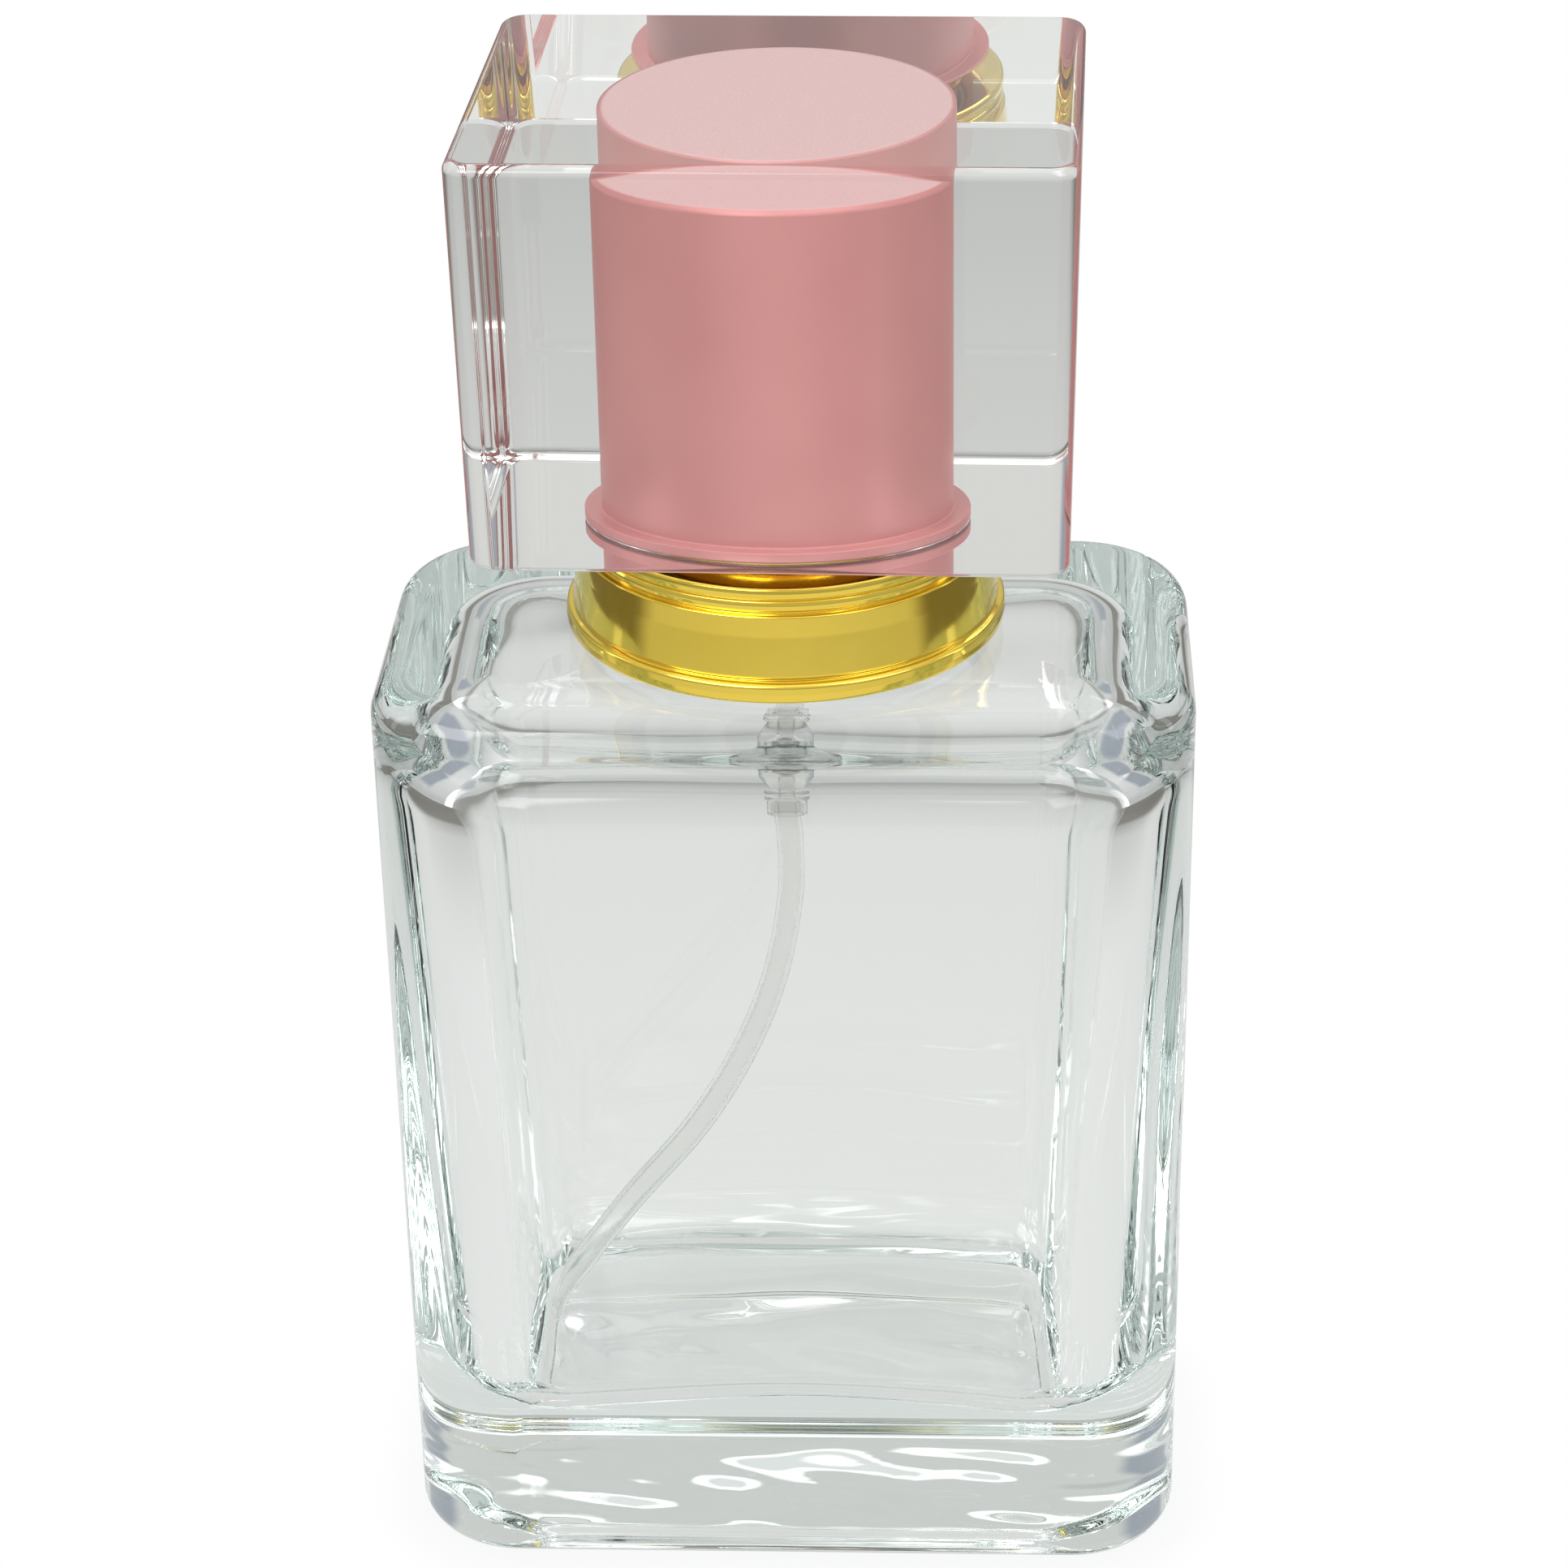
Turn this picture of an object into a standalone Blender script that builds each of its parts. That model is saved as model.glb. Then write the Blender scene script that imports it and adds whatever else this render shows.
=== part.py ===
"""A perfume atomiser: rectangular glass bottle, crimped spray pump and pull-off block cap.

Run with: blender --background --python part.py

Metres, +Z up. The origin is the middle of the bottle's base and the front faces -Y. The pump's
heights are counted from the glass rim, the spray button's from its skirt, and the cap's from the
underside of its block.
"""
import math

import bmesh
import bpy
from mathutils import Matrix, Vector

MM = 0.001

# ---- Resolution
ROUND_STEPS = 32
SMALL_STEPS = 16
CORNER_STEPS = 5
EDGE_STEPS = 3
SHARP_ANGLE = math.radians(35)

# ---- Glass bottle
BOTTLE_WIDTH = 44.0 * MM
BOTTLE_DEPTH = 25.0 * MM
SHOULDER_HEIGHT = 54.2 * MM
BOTTLE_CORNER = 6.2 * MM
SHOULDER_EDGE = 2.2 * MM
BASE_EDGE = 1.75 * MM
BASE_NARROWING = 0.3 * MM
SIDE_WALL = 2.9 * MM
FRONT_WALL = 2.3 * MM
SHOULDER_WALL = 3.0 * MM
BASE_THICKNESS = 7.5 * MM
FLOOR_RISE = 1.3 * MM
FLOOR_ARCH_TOP = 20.0 * MM
FLOOR_ARCH_STEPS = 8
CAVITY_CORNER = 5.8 * MM
CAVITY_SHOULDER_EDGE = 4.5 * MM
CAVITY_FLOOR_EDGE = 3.2 * MM
BASE_RECESS_DEPTH = 0.5 * MM
BASE_RECESS_MARGIN = 4.6 * MM
BASE_RECESS_CORNER = 3.7 * MM

# ---- Crimp neck of the bottle
NECK_TOP = 62.7 * MM
NECK_RADIUS = 6.6 * MM
NECK_ROOT_FLARE = 1.2 * MM
NECK_BORE_RADIUS = 4.5 * MM
BEAD_RADIUS = 7.4 * MM
BEAD_HEIGHT = 3.5 * MM
BEAD_CHAMFER = 0.4 * MM
RIM_ROUND = 0.35 * MM

# ---- Gap between pieces that seat on each other
SEAT_GAP = 0.15 * MM

# ---- Neck gasket
GASKET_INNER = 4.5 * MM
GASKET_OUTER = 7.1 * MM
GASKET_THICKNESS = 0.65 * MM

# ---- Pump housing
FLANGE_RADIUS = 7.1 * MM
FLANGE_THICKNESS = 0.65 * MM
MOUTH_RADIUS = 4.1 * MM
MOUTH_BOTTOM = -2.1 * MM
RECESS_RADIUS = 3.45 * MM
RECESS_FLOOR = -1.1 * MM
BARREL_RADIUS = 3.0 * MM
BARREL_BORE = 2.3 * MM
BARREL_FLOOR = -10.6 * MM
BARREL_BOTTOM = -11.1 * MM
POCKET_RADIUS = 1.5 * MM
POCKET_BORE = 1.05 * MM
POCKET_SEAT = -13.2 * MM
SEAT_HEIGHT = 0.6 * MM
TAIL_HOLE = 0.4 * MM
TAIL_NECK_RADIUS = 0.95 * MM
TAIL_RING_RADIUS = 1.24 * MM
TAIL_RING_HEIGHT = 0.45 * MM
TAIL_RING_PITCH = 0.75 * MM
TAIL_RADIUS = 1.12 * MM
TAIL_BORE = 0.85 * MM
TAIL_TOP = -16.5 * MM
TAIL_END = -18.3 * MM

# ---- Inlet ball
BALL_RADIUS = 0.75 * MM

# ---- Dip tube
TUBE_RADIUS = 0.74 * MM
TUBE_WALL = 0.26 * MM
TUBE_TOP = TAIL_TOP - 0.15 * MM
TUBE_POINT_STEP = 2.2 * MM
# The tube's middle line below the housing's tail, from the top down: x, y, height over the base.
TUBE_ROUTE = (
    (0.00 * MM, 0.00 * MM, 44.2 * MM),
    (0.12 * MM, 0.00 * MM, 41.0 * MM),
    (0.05 * MM, 0.05 * MM, 37.4 * MM),
    (-0.95 * MM, 0.10 * MM, 32.3 * MM),
    (-2.95 * MM, 0.20 * MM, 27.0 * MM),
    (-5.70 * MM, 0.30 * MM, 22.0 * MM),
    (-9.60 * MM, 0.40 * MM, 17.0 * MM),
    (-14.00 * MM, 0.50 * MM, 11.0 * MM),
    (-15.60 * MM, 0.50 * MM, 8.9 * MM),
)

# ---- Stem guide, the closure that snaps into the housing's mouth
GUIDE_RADIUS = 3.3 * MM
GUIDE_BORE = 1.65 * MM
GUIDE_SHOULDER = 1.4 * MM
TURRET_RADIUS = 2.6 * MM
TURRET_TOP = 3.3 * MM

# ---- Stem seal
SEAL_THICKNESS = 0.4 * MM

# ---- Stem
STEM_RADIUS = 1.45 * MM
STEM_BORE = 0.6 * MM
STEM_TOP = 9.8 * MM
STEM_CORE_RADIUS = 1.1 * MM
STEM_SHOULDER_RADIUS = 2.05 * MM
STEM_SHOULDER_TOP = -1.4 * MM
STEM_SHOULDER_HEIGHT = 0.45 * MM
STEM_PLUG_RADIUS = 1.95 * MM
STEM_PLUG_TOP = -5.2 * MM
STEM_PLUG_HEIGHT = 0.6 * MM
STEM_SPIGOT_RADIUS = 1.3 * MM
STEM_SPIGOT_HEIGHT = 0.8 * MM
STEM_PORT_RADIUS = 0.3 * MM

# ---- Piston
PISTON_RADIUS = 2.17 * MM
PISTON_WAIST = 1.9 * MM
PISTON_BORE = 1.25 * MM
PISTON_TOP = -3.3 * MM
PISTON_BOTTOM = STEM_PLUG_TOP + 0.3 * MM
PISTON_LIP = 0.45 * MM

# ---- Springs
MAIN_SPRING_RADIUS = 1.75 * MM
MAIN_SPRING_WIRE = 0.2 * MM
MAIN_SPRING_TURNS = 6
SMALL_SPRING_RADIUS = 1.6 * MM
SMALL_SPRING_WIRE = 0.12 * MM
SMALL_SPRING_TURNS = 3
SPRING_POINTS_PER_TURN = 12

# ---- Crimp ferrule
FERRULE_RADIUS = 7.9 * MM
FERRULE_WALL = 0.3 * MM
FERRULE_HOLE = 2.9 * MM
CRIMP_BOTTOM = -4.4 * MM
CRIMP_INNER = 6.95 * MM

# ---- Collar skirt, from the glass shoulder up into the cap
COLLAR_BOTTOM = SHOULDER_HEIGHT - NECK_TOP + 0.55 * MM
COLLAR_TOP = 2.7 * MM
COLLAR_WALL = 0.35 * MM
COLLAR_HOLE = 6.9 * MM
COLLAR_TUBE_RADIUS = 8.4 * MM
COLLAR_LEDGE = -1.75 * MM
COLLAR_BEAD_RADIUS = 11.0 * MM
COLLAR_BEAD_HEIGHT = 0.62 * MM
COLLAR_GROOVE = 0.22 * MM
COLLAR_BAND_TOP_RADIUS = 11.1 * MM
COLLAR_BAND_FOOT_RADIUS = 11.5 * MM
COLLAR_LIP_RADIUS = 11.85 * MM
COLLAR_LIP_HEIGHT = 1.15 * MM
BEAD_ARC_STEPS = 3

# ---- Collar liner
LINER_INNER = 8.1 * MM
LINER_OUTER = 10.6 * MM
LINER_WALL = 0.5 * MM
LINER_TOP = -3.2 * MM

# ---- Spray button; heights are counted from its skirt
BUTTON_HEIGHT_OVER_RIM = 6.4 * MM
BUTTON_RADIUS = 5.85 * MM
BUTTON_HEIGHT = 6.8 * MM
BUTTON_WALL = 0.8 * MM
BUTTON_ROOF = 2.2 * MM
BUTTON_BOSS_RADIUS = 2.7 * MM
BUTTON_BOSS_START = 1.0 * MM
BUTTON_SOCKET_RADIUS = 1.6 * MM
BUTTON_SOCKET_TOP = 3.6 * MM
CHANNEL_RADIUS = 0.45 * MM
NOZZLE_HEIGHT = 4.1 * MM
NOZZLE_BOSS_RADIUS = 2.3 * MM
NOZZLE_SOCKET_RADIUS = 1.55 * MM
NOZZLE_SOCKET_DEPTH = 2.8 * MM

# ---- Metal sleeve over the spray button
SLEEVE_RADIUS = 6.3 * MM
SLEEVE_WALL = 0.3 * MM
SLEEVE_TOP = 7.25 * MM
SLEEVE_SKIRT = -0.3 * MM
SLEEVE_TOP_ROUND = 0.5 * MM
SLEEVE_HOLE = 1.95 * MM

# ---- Nozzle insert
NOZZLE_RADIUS = 1.42 * MM
NOZZLE_LENGTH = 2.5 * MM
NOZZLE_SWIRL_RADIUS = 0.8 * MM
NOZZLE_ORIFICE = 0.2 * MM
NOZZLE_DISH = 0.9 * MM
NOZZLE_FACE = 0.5 * MM

# ---- Cap: clear block, metal cup and plastic liner; heights are counted from the block's underside
CAP_UNDERSIDE = 62.25 * MM
CAP_TURN = math.radians(-1.64)
BLOCK_WIDTH = 31.45 * MM
BLOCK_DEPTH = 25.2 * MM
BLOCK_HEIGHT = 21.95 * MM
BLOCK_NARROWING = 0.6 * MM
BLOCK_CORNER = 1.5 * MM
BLOCK_TOP_EDGE = 0.6 * MM
BLOCK_FOOT_EDGE = 0.5 * MM
CUP_RADIUS = 9.25 * MM
CUP_WALL = 0.35 * MM
CUP_TOP = 19.05 * MM
CUP_TOP_ROUND = 0.35 * MM
CUP_FOOT_RADIUS = 10.15 * MM
CUP_FOOT_BOTTOM = 0.1 * MM
CUP_FOOT_THICKNESS = 0.6 * MM
CUP_FIT = 0.1 * MM
CAP_LINER_RADIUS = 8.8 * MM
CAP_LINER_WALL = 0.25 * MM
CAP_LINER_TOP = 18.55 * MM
CAP_LINER_BOTTOM = 0.2 * MM

# ---- Finishes: base colour, metallic, roughness, transmission
GLASS = ("glass", (0.95, 0.97, 0.96), 0.0, 0.03, 1.0)
ACRYLIC = ("acrylic", (0.97, 0.98, 0.98), 0.0, 0.02, 1.0)
GOLD = ("gold", (0.86, 0.62, 0.20), 1.0, 0.14, 0.0)
BARE_METAL = ("bare_metal", (0.78, 0.78, 0.80), 1.0, 0.30, 0.0)
SPRING_STEEL = ("spring_steel", (0.62, 0.62, 0.64), 1.0, 0.25, 0.0)
PINK_METAL = ("pink_metal", (0.78, 0.42, 0.46), 0.6, 0.35, 0.0)
WHITE_PLASTIC = ("white_plastic", (0.88, 0.89, 0.87), 0.0, 0.40, 0.0)
CLOUDY_PLASTIC = ("cloudy_plastic", (0.86, 0.88, 0.86), 0.0, 0.35, 0.3)
SOFT_PLASTIC = ("soft_plastic", (0.72, 0.74, 0.74), 0.0, 0.60, 0.0)


def clear_scene():
    for obj in list(bpy.data.objects):
        bpy.data.objects.remove(obj, do_unlink=True)


def new_collection(name):
    collection = bpy.data.collections.new(name)
    bpy.context.scene.collection.children.link(collection)
    return collection


def finish(recipe):
    """The material of this recipe, made once."""
    name, colour, metallic, roughness, transmission = recipe
    material = bpy.data.materials.get(name)
    if material is None:
        material = bpy.data.materials.new(name)
        material.use_nodes = True
        shader = material.node_tree.nodes["Principled BSDF"]
        shader.inputs["Base Color"].default_value = (*colour, 1.0)
        shader.inputs["Metallic"].default_value = metallic
        shader.inputs["Roughness"].default_value = roughness
        shader.inputs["Transmission Weight"].default_value = transmission
    return material


def add_object(name, data, collection, parent=None, location=(0.0, 0.0, 0.0)):
    obj = bpy.data.objects.new(name, data)
    obj.location = location
    obj.parent = parent
    collection.objects.link(obj)
    return obj


def add_empty(name, height, parent=None, turn=0.0):
    """An empty on the bottle's vertical axis, which is the axis of every sliding or turning piece."""
    empty = add_object(name, None, PARTS, parent, (0.0, 0.0, height))
    empty.empty_display_size = 5 * MM
    empty.rotation_euler.z = turn
    return empty


def turn_profile(mesh, profile, obj, steps):
    """Turns a (radius, height) profile about the object's +Z.

    The profile runs down its outer side and back up its inner side. It is closed unless both its
    ends lie on the axis.
    """
    on_axis = profile[0][0] == 0 and profile[-1][0] == 0
    edges = [(i, i + 1) for i in range(len(profile) - 1)]
    if not on_axis:
        edges.append((len(profile) - 1, 0))
    mesh.from_pydata([(radius, 0.0, height) for radius, height in profile], edges, [])
    screw = obj.modifiers.new("Turn", "SCREW")
    screw.steps = steps
    screw.render_steps = steps
    screw.use_merge_vertices = True
    screw.merge_threshold = 0.00001


def turned(name, profile, recipe, parent, steps=ROUND_STEPS, height=0.0):
    """A turned piece of the object."""
    mesh = bpy.data.meshes.new(name)
    obj = add_object(name, mesh, PARTS, parent, (0.0, 0.0, height))
    turn_profile(mesh, profile, obj, steps)
    mesh.materials.append(finish(recipe))
    return obj


def turned_tool(name, profile, parent, steps=ROUND_STEPS, height=0.0):
    """A turned shape that is only joined to or cut from a piece."""
    mesh = bpy.data.meshes.new(name)
    obj = add_object(name, mesh, TOOLS, parent, (0.0, 0.0, height))
    turn_profile(mesh, profile, obj, steps)
    return hide(obj)


def hide(obj):
    obj.hide_render = True
    obj.display_type = "WIRE"
    return obj


def face_front(obj, height):
    """Lays a turned shape along -Y at this height, so that its profile's height is its reach."""
    obj.location.z = height
    obj.rotation_euler.x = math.pi / 2
    return obj


def join(obj, tool, operation):
    boolean = obj.modifiers.new(tool.name, "BOOLEAN")
    boolean.operation = operation
    boolean.object = tool


def rod(radius, low, high):
    """The profile of a plain solid rod."""
    return [(0.0, high), (radius, high), (radius, low), (0.0, low)]


def ring(inner, outer, low, high):
    """The profile of a plain ring."""
    return [(inner, high), (outer, high), (outer, low), (inner, low)]


def arc(middle, radius, start, end, steps):
    """Points (radius, height) on an arc, with angles in degrees from the outward direction."""
    points = []
    for step in range(steps + 1):
        angle = math.radians(start + (end - start) * step / steps)
        points.append(
            (middle[0] + radius * math.cos(angle), middle[1] + radius * math.sin(angle))
        )
    return points


def bevel_edges(shape, chosen, radius, steps):
    bmesh.ops.bevel(
        shape,
        geom=chosen,
        offset=radius,
        offset_type="OFFSET",
        segments=steps,
        profile=0.5,
        affect="EDGES",
    )


def edges_at(shape, height):
    return [e for e in shape.edges if all(abs(v.co.z - height) < 0.01 * MM for v in e.verts)]


def rounded_block(width, depth, low, high, corner, top_edge, foot_edge):
    """A bmesh box with round upright corners and rounded upper and lower edges."""
    shape = bmesh.new()
    middle = Vector((0.0, 0.0, (low + high) / 2))
    size = Vector((width, depth, high - low))
    bmesh.ops.create_cube(shape, size=1.0, matrix=Matrix.LocRotScale(middle, None, size))
    upright = [e for e in shape.edges if abs(e.verts[0].co.z - e.verts[1].co.z) > 0.01 * MM]
    bevel_edges(shape, upright, corner, CORNER_STEPS)
    for height, radius in ((high, top_edge), (low, foot_edge)):
        if radius > 0:
            bevel_edges(shape, edges_at(shape, height), radius, EDGE_STEPS)
    return shape


def narrow_foot(shape, width, depth, low, high, narrowing):
    """Draws the sides in evenly towards the foot, as a moulded block's sides are."""
    for vertex in shape.verts:
        share = (high - vertex.co.z) / (high - low)
        vertex.co.x *= 1 - share * narrowing / width
        vertex.co.y *= 1 - share * narrowing / depth


def block_object(name, shape, collection, parent):
    mesh = bpy.data.meshes.new(name)
    shape.to_mesh(mesh)
    shape.free()
    return add_object(name, mesh, collection, parent)


def shade_round(obj):
    """Applies the object's modifiers and shades it smooth, with sharp edges where it turns hard."""
    graph = bpy.context.evaluated_depsgraph_get()
    mesh = bpy.data.meshes.new_from_object(obj.evaluated_get(graph))
    obj.modifiers.clear()
    obj.data = mesh
    mesh.shade_smooth()
    mesh.set_sharp_from_angle(angle=SHARP_ANGLE)


# ---- Bottle


def neck_profile():
    """The solid outside of the neck: rim, bead, waist and the flare into the shoulder."""
    bead_bottom = NECK_TOP - BEAD_HEIGHT
    return [
        (0.0, NECK_TOP),
        (BEAD_RADIUS - RIM_ROUND, NECK_TOP),
        (BEAD_RADIUS, NECK_TOP - RIM_ROUND),
        (BEAD_RADIUS, bead_bottom + BEAD_CHAMFER),
        (BEAD_RADIUS - BEAD_CHAMFER, bead_bottom),
        (NECK_RADIUS, bead_bottom - BEAD_CHAMFER),
        (NECK_RADIUS, SHOULDER_HEIGHT + NECK_ROOT_FLARE),
        (NECK_RADIUS + 0.3 * NECK_ROOT_FLARE, SHOULDER_HEIGHT + 0.4 * NECK_ROOT_FLARE),
        (NECK_RADIUS + NECK_ROOT_FLARE, SHOULDER_HEIGHT - 0.2 * MM),
        (NECK_RADIUS + NECK_ROOT_FLARE, SHOULDER_HEIGHT - 0.5 * SHOULDER_WALL),
        (0.0, SHOULDER_HEIGHT - 0.5 * SHOULDER_WALL),
    ]


def split_level(shape, point, normal):
    geometry = [*shape.verts, *shape.edges, *shape.faces]
    bmesh.ops.bisect_plane(shape, geom=geometry, plane_co=point, plane_no=normal)


def arch_floor(shape, width):
    """Raises the cavity's floor towards the middle of its width, less and less up the walls."""
    for step in range(1, FLOOR_ARCH_STEPS):
        across = width * (step / FLOOR_ARCH_STEPS - 0.5)
        split_level(shape, (across, 0.0, 0.0), (1.0, 0.0, 0.0))
    split_level(shape, (0.0, 0.0, FLOOR_ARCH_TOP), (0.0, 0.0, 1.0))
    for vertex in shape.verts:
        middle = 1 - (2 * vertex.co.x / width) ** 2
        fade = (FLOOR_ARCH_TOP - vertex.co.z) / (FLOOR_ARCH_TOP - BASE_THICKNESS)
        vertex.co.z += FLOOR_RISE * middle * max(0.0, fade)


def bottle_cavity(parent):
    width = BOTTLE_WIDTH - 2 * SIDE_WALL
    depth = BOTTLE_DEPTH - 2 * FRONT_WALL
    top = SHOULDER_HEIGHT - SHOULDER_WALL
    shape = rounded_block(
        width,
        depth,
        BASE_THICKNESS,
        top,
        CAVITY_CORNER,
        CAVITY_SHOULDER_EDGE,
        CAVITY_FLOOR_EDGE,
    )
    narrow_foot(shape, width, depth, BASE_THICKNESS, top, BASE_NARROWING)
    arch_floor(shape, width)
    return hide(block_object("cavity_cutter", shape, TOOLS, parent))


def base_recess(parent):
    """The shallow hollow under the base, which leaves a flat standing ring around it."""
    shape = rounded_block(
        BOTTLE_WIDTH - 2 * BASE_RECESS_MARGIN,
        BOTTLE_DEPTH - 2 * BASE_RECESS_MARGIN,
        -BASE_RECESS_DEPTH,
        BASE_RECESS_DEPTH,
        BASE_RECESS_CORNER,
        0.0,
        0.0,
    )
    return hide(block_object("recess_cutter", shape, TOOLS, parent))


def make_bottle(parent):
    shape = rounded_block(
        BOTTLE_WIDTH,
        BOTTLE_DEPTH,
        0.0,
        SHOULDER_HEIGHT,
        BOTTLE_CORNER,
        SHOULDER_EDGE,
        BASE_EDGE,
    )
    narrow_foot(shape, BOTTLE_WIDTH, BOTTLE_DEPTH, 0.0, SHOULDER_HEIGHT, BASE_NARROWING)
    bottle = block_object("glass_bottle", shape, PARTS, parent)
    bottle.data.materials.append(finish(GLASS))
    join(bottle, turned_tool("neck_form", neck_profile(), parent), "UNION")
    join(bottle, bottle_cavity(parent), "DIFFERENCE")
    bore = rod(NECK_BORE_RADIUS, SHOULDER_HEIGHT - 2 * SHOULDER_WALL, NECK_TOP + 1 * MM)
    join(bottle, turned_tool("bore_cutter", bore, parent), "DIFFERENCE")
    join(bottle, base_recess(parent), "DIFFERENCE")
    shade_round(bottle)


# ---- Pump, fixed pieces


def flange_bottom():
    return GASKET_THICKNESS + 2 * SEAT_GAP


def flange_top():
    return flange_bottom() + FLANGE_THICKNESS


def make_gasket(parent):
    profile = ring(GASKET_INNER, GASKET_OUTER, SEAT_GAP, SEAT_GAP + GASKET_THICKNESS)
    turned("neck_gasket", profile, SOFT_PLASTIC, parent)


def tail_rings():
    """The two rings round the tail, from the top one down, above the dip tube's socket."""
    points = []
    for count in (1, 0):
        low = TAIL_TOP + 0.15 * MM + count * TAIL_RING_PITCH
        high = low + TAIL_RING_HEIGHT
        points += [
            (TAIL_NECK_RADIUS, high + 0.12 * MM),
            (TAIL_RING_RADIUS, high),
            (TAIL_RING_RADIUS, low),
            (TAIL_NECK_RADIUS, low - 0.12 * MM),
        ]
    return points


def housing_profile():
    outside = [
        (RECESS_RADIUS, flange_top()),
        (FLANGE_RADIUS, flange_top()),
        (FLANGE_RADIUS, flange_bottom()),
        (MOUTH_RADIUS, flange_bottom()),
        (MOUTH_RADIUS, MOUTH_BOTTOM),
        (BARREL_RADIUS, MOUTH_BOTTOM - 0.6 * MM),
        (BARREL_RADIUS, BARREL_BOTTOM),
        (POCKET_RADIUS, BARREL_BOTTOM - 1.0 * MM),
        (POCKET_RADIUS, POCKET_SEAT),
    ]
    socket = [
        (TAIL_RADIUS, TAIL_TOP - 0.1 * MM),
        (TAIL_RADIUS, TAIL_END),
        (TAIL_BORE, TAIL_END),
        (TAIL_BORE, TAIL_TOP),
        (TAIL_HOLE, TAIL_TOP + 0.3 * MM),
    ]
    inside = [
        (TAIL_HOLE, POCKET_SEAT),
        (POCKET_BORE, POCKET_SEAT + SEAT_HEIGHT),
        (POCKET_BORE, BARREL_FLOOR - 0.3 * MM),
        (POCKET_BORE + 0.3 * MM, BARREL_FLOOR),
        (BARREL_BORE, BARREL_FLOOR),
        (BARREL_BORE, RECESS_FLOOR),
        (RECESS_RADIUS, RECESS_FLOOR),
    ]
    return outside + tail_rings() + socket + inside


def make_housing(parent):
    turned("pump_housing", housing_profile(), CLOUDY_PLASTIC, parent, SMALL_STEPS)


def make_seal(parent):
    low = RECESS_FLOOR + SEAT_GAP
    profile = ring(GUIDE_BORE, GUIDE_RADIUS, low, low + SEAL_THICKNESS)
    turned("stem_seal", profile, SOFT_PLASTIC, parent, SMALL_STEPS)


def make_guide(parent):
    bottom = RECESS_FLOOR + SEAL_THICKNESS + 2 * SEAT_GAP
    profile = [
        (GUIDE_BORE, TURRET_TOP),
        (TURRET_RADIUS - 0.3 * MM, TURRET_TOP),
        (TURRET_RADIUS, TURRET_TOP - 0.3 * MM),
        (TURRET_RADIUS, GUIDE_SHOULDER),
        (GUIDE_RADIUS, GUIDE_SHOULDER),
        (GUIDE_RADIUS, bottom),
        (GUIDE_BORE, bottom),
    ]
    turned("stem_guide", profile, WHITE_PLASTIC, parent, SMALL_STEPS)


def make_ferrule(parent):
    """The thin ferrule: a flat top over the flange and a wall turned in under the glass bead."""
    under = flange_top() + SEAT_GAP
    top = under + FERRULE_WALL
    inner = FERRULE_RADIUS - FERRULE_WALL
    crimp_start = -BEAD_HEIGHT
    profile = [
        (FERRULE_HOLE, top),
        (inner, top),
        (FERRULE_RADIUS, top - FERRULE_WALL),
        (FERRULE_RADIUS, crimp_start),
        (CRIMP_INNER + 0.35 * MM, CRIMP_BOTTOM + 0.1 * MM),
        (CRIMP_INNER, CRIMP_BOTTOM),
        (CRIMP_INNER - 0.05 * MM, CRIMP_BOTTOM + FERRULE_WALL),
        (CRIMP_INNER + 0.2 * MM, CRIMP_BOTTOM + 0.5 * MM),
        (inner, crimp_start + 0.2 * MM),
        (inner, under),
        (FERRULE_HOLE, under),
    ]
    turned("crimp_ferrule", profile, BARE_METAL, parent)


def collar_outside():
    """The collar's visible side: tube, ledge, two beads, a flared band and the foot lip."""
    bead = COLLAR_BEAD_HEIGHT / 2
    upper = (COLLAR_BEAD_RADIUS - bead - 0.15 * MM, COLLAR_LEDGE - bead)
    lower = (COLLAR_BEAD_RADIUS - bead, upper[1] - COLLAR_BEAD_HEIGHT - 0.1 * MM)
    band_top = lower[1] - bead - 0.1 * MM
    lip = COLLAR_LIP_HEIGHT / 2
    foot = (COLLAR_LIP_RADIUS - lip, COLLAR_BOTTOM + lip)
    return [
        (COLLAR_HOLE, COLLAR_TOP),
        (COLLAR_TUBE_RADIUS - 0.3 * MM, COLLAR_TOP),
        (COLLAR_TUBE_RADIUS, COLLAR_TOP - 0.3 * MM),
        (COLLAR_TUBE_RADIUS, COLLAR_LEDGE + 0.35 * MM),
        (COLLAR_TUBE_RADIUS + 0.2 * MM, COLLAR_LEDGE + 0.15 * MM),
        (upper[0] - 0.2 * MM, COLLAR_LEDGE),
        *arc(upper, bead, 75, -60, BEAD_ARC_STEPS),
        *arc(lower, bead, 60, -60, BEAD_ARC_STEPS),
        (COLLAR_BEAD_RADIUS - COLLAR_GROOVE, band_top + 0.05 * MM),
        (COLLAR_BAND_TOP_RADIUS, band_top - 0.15 * MM),
        (COLLAR_BAND_FOOT_RADIUS, foot[1] + lip + 0.35 * MM),
        (COLLAR_BAND_FOOT_RADIUS + 0.05 * MM, foot[1] + lip),
        *arc(foot, lip, 50, -75, BEAD_ARC_STEPS),
    ]


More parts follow.
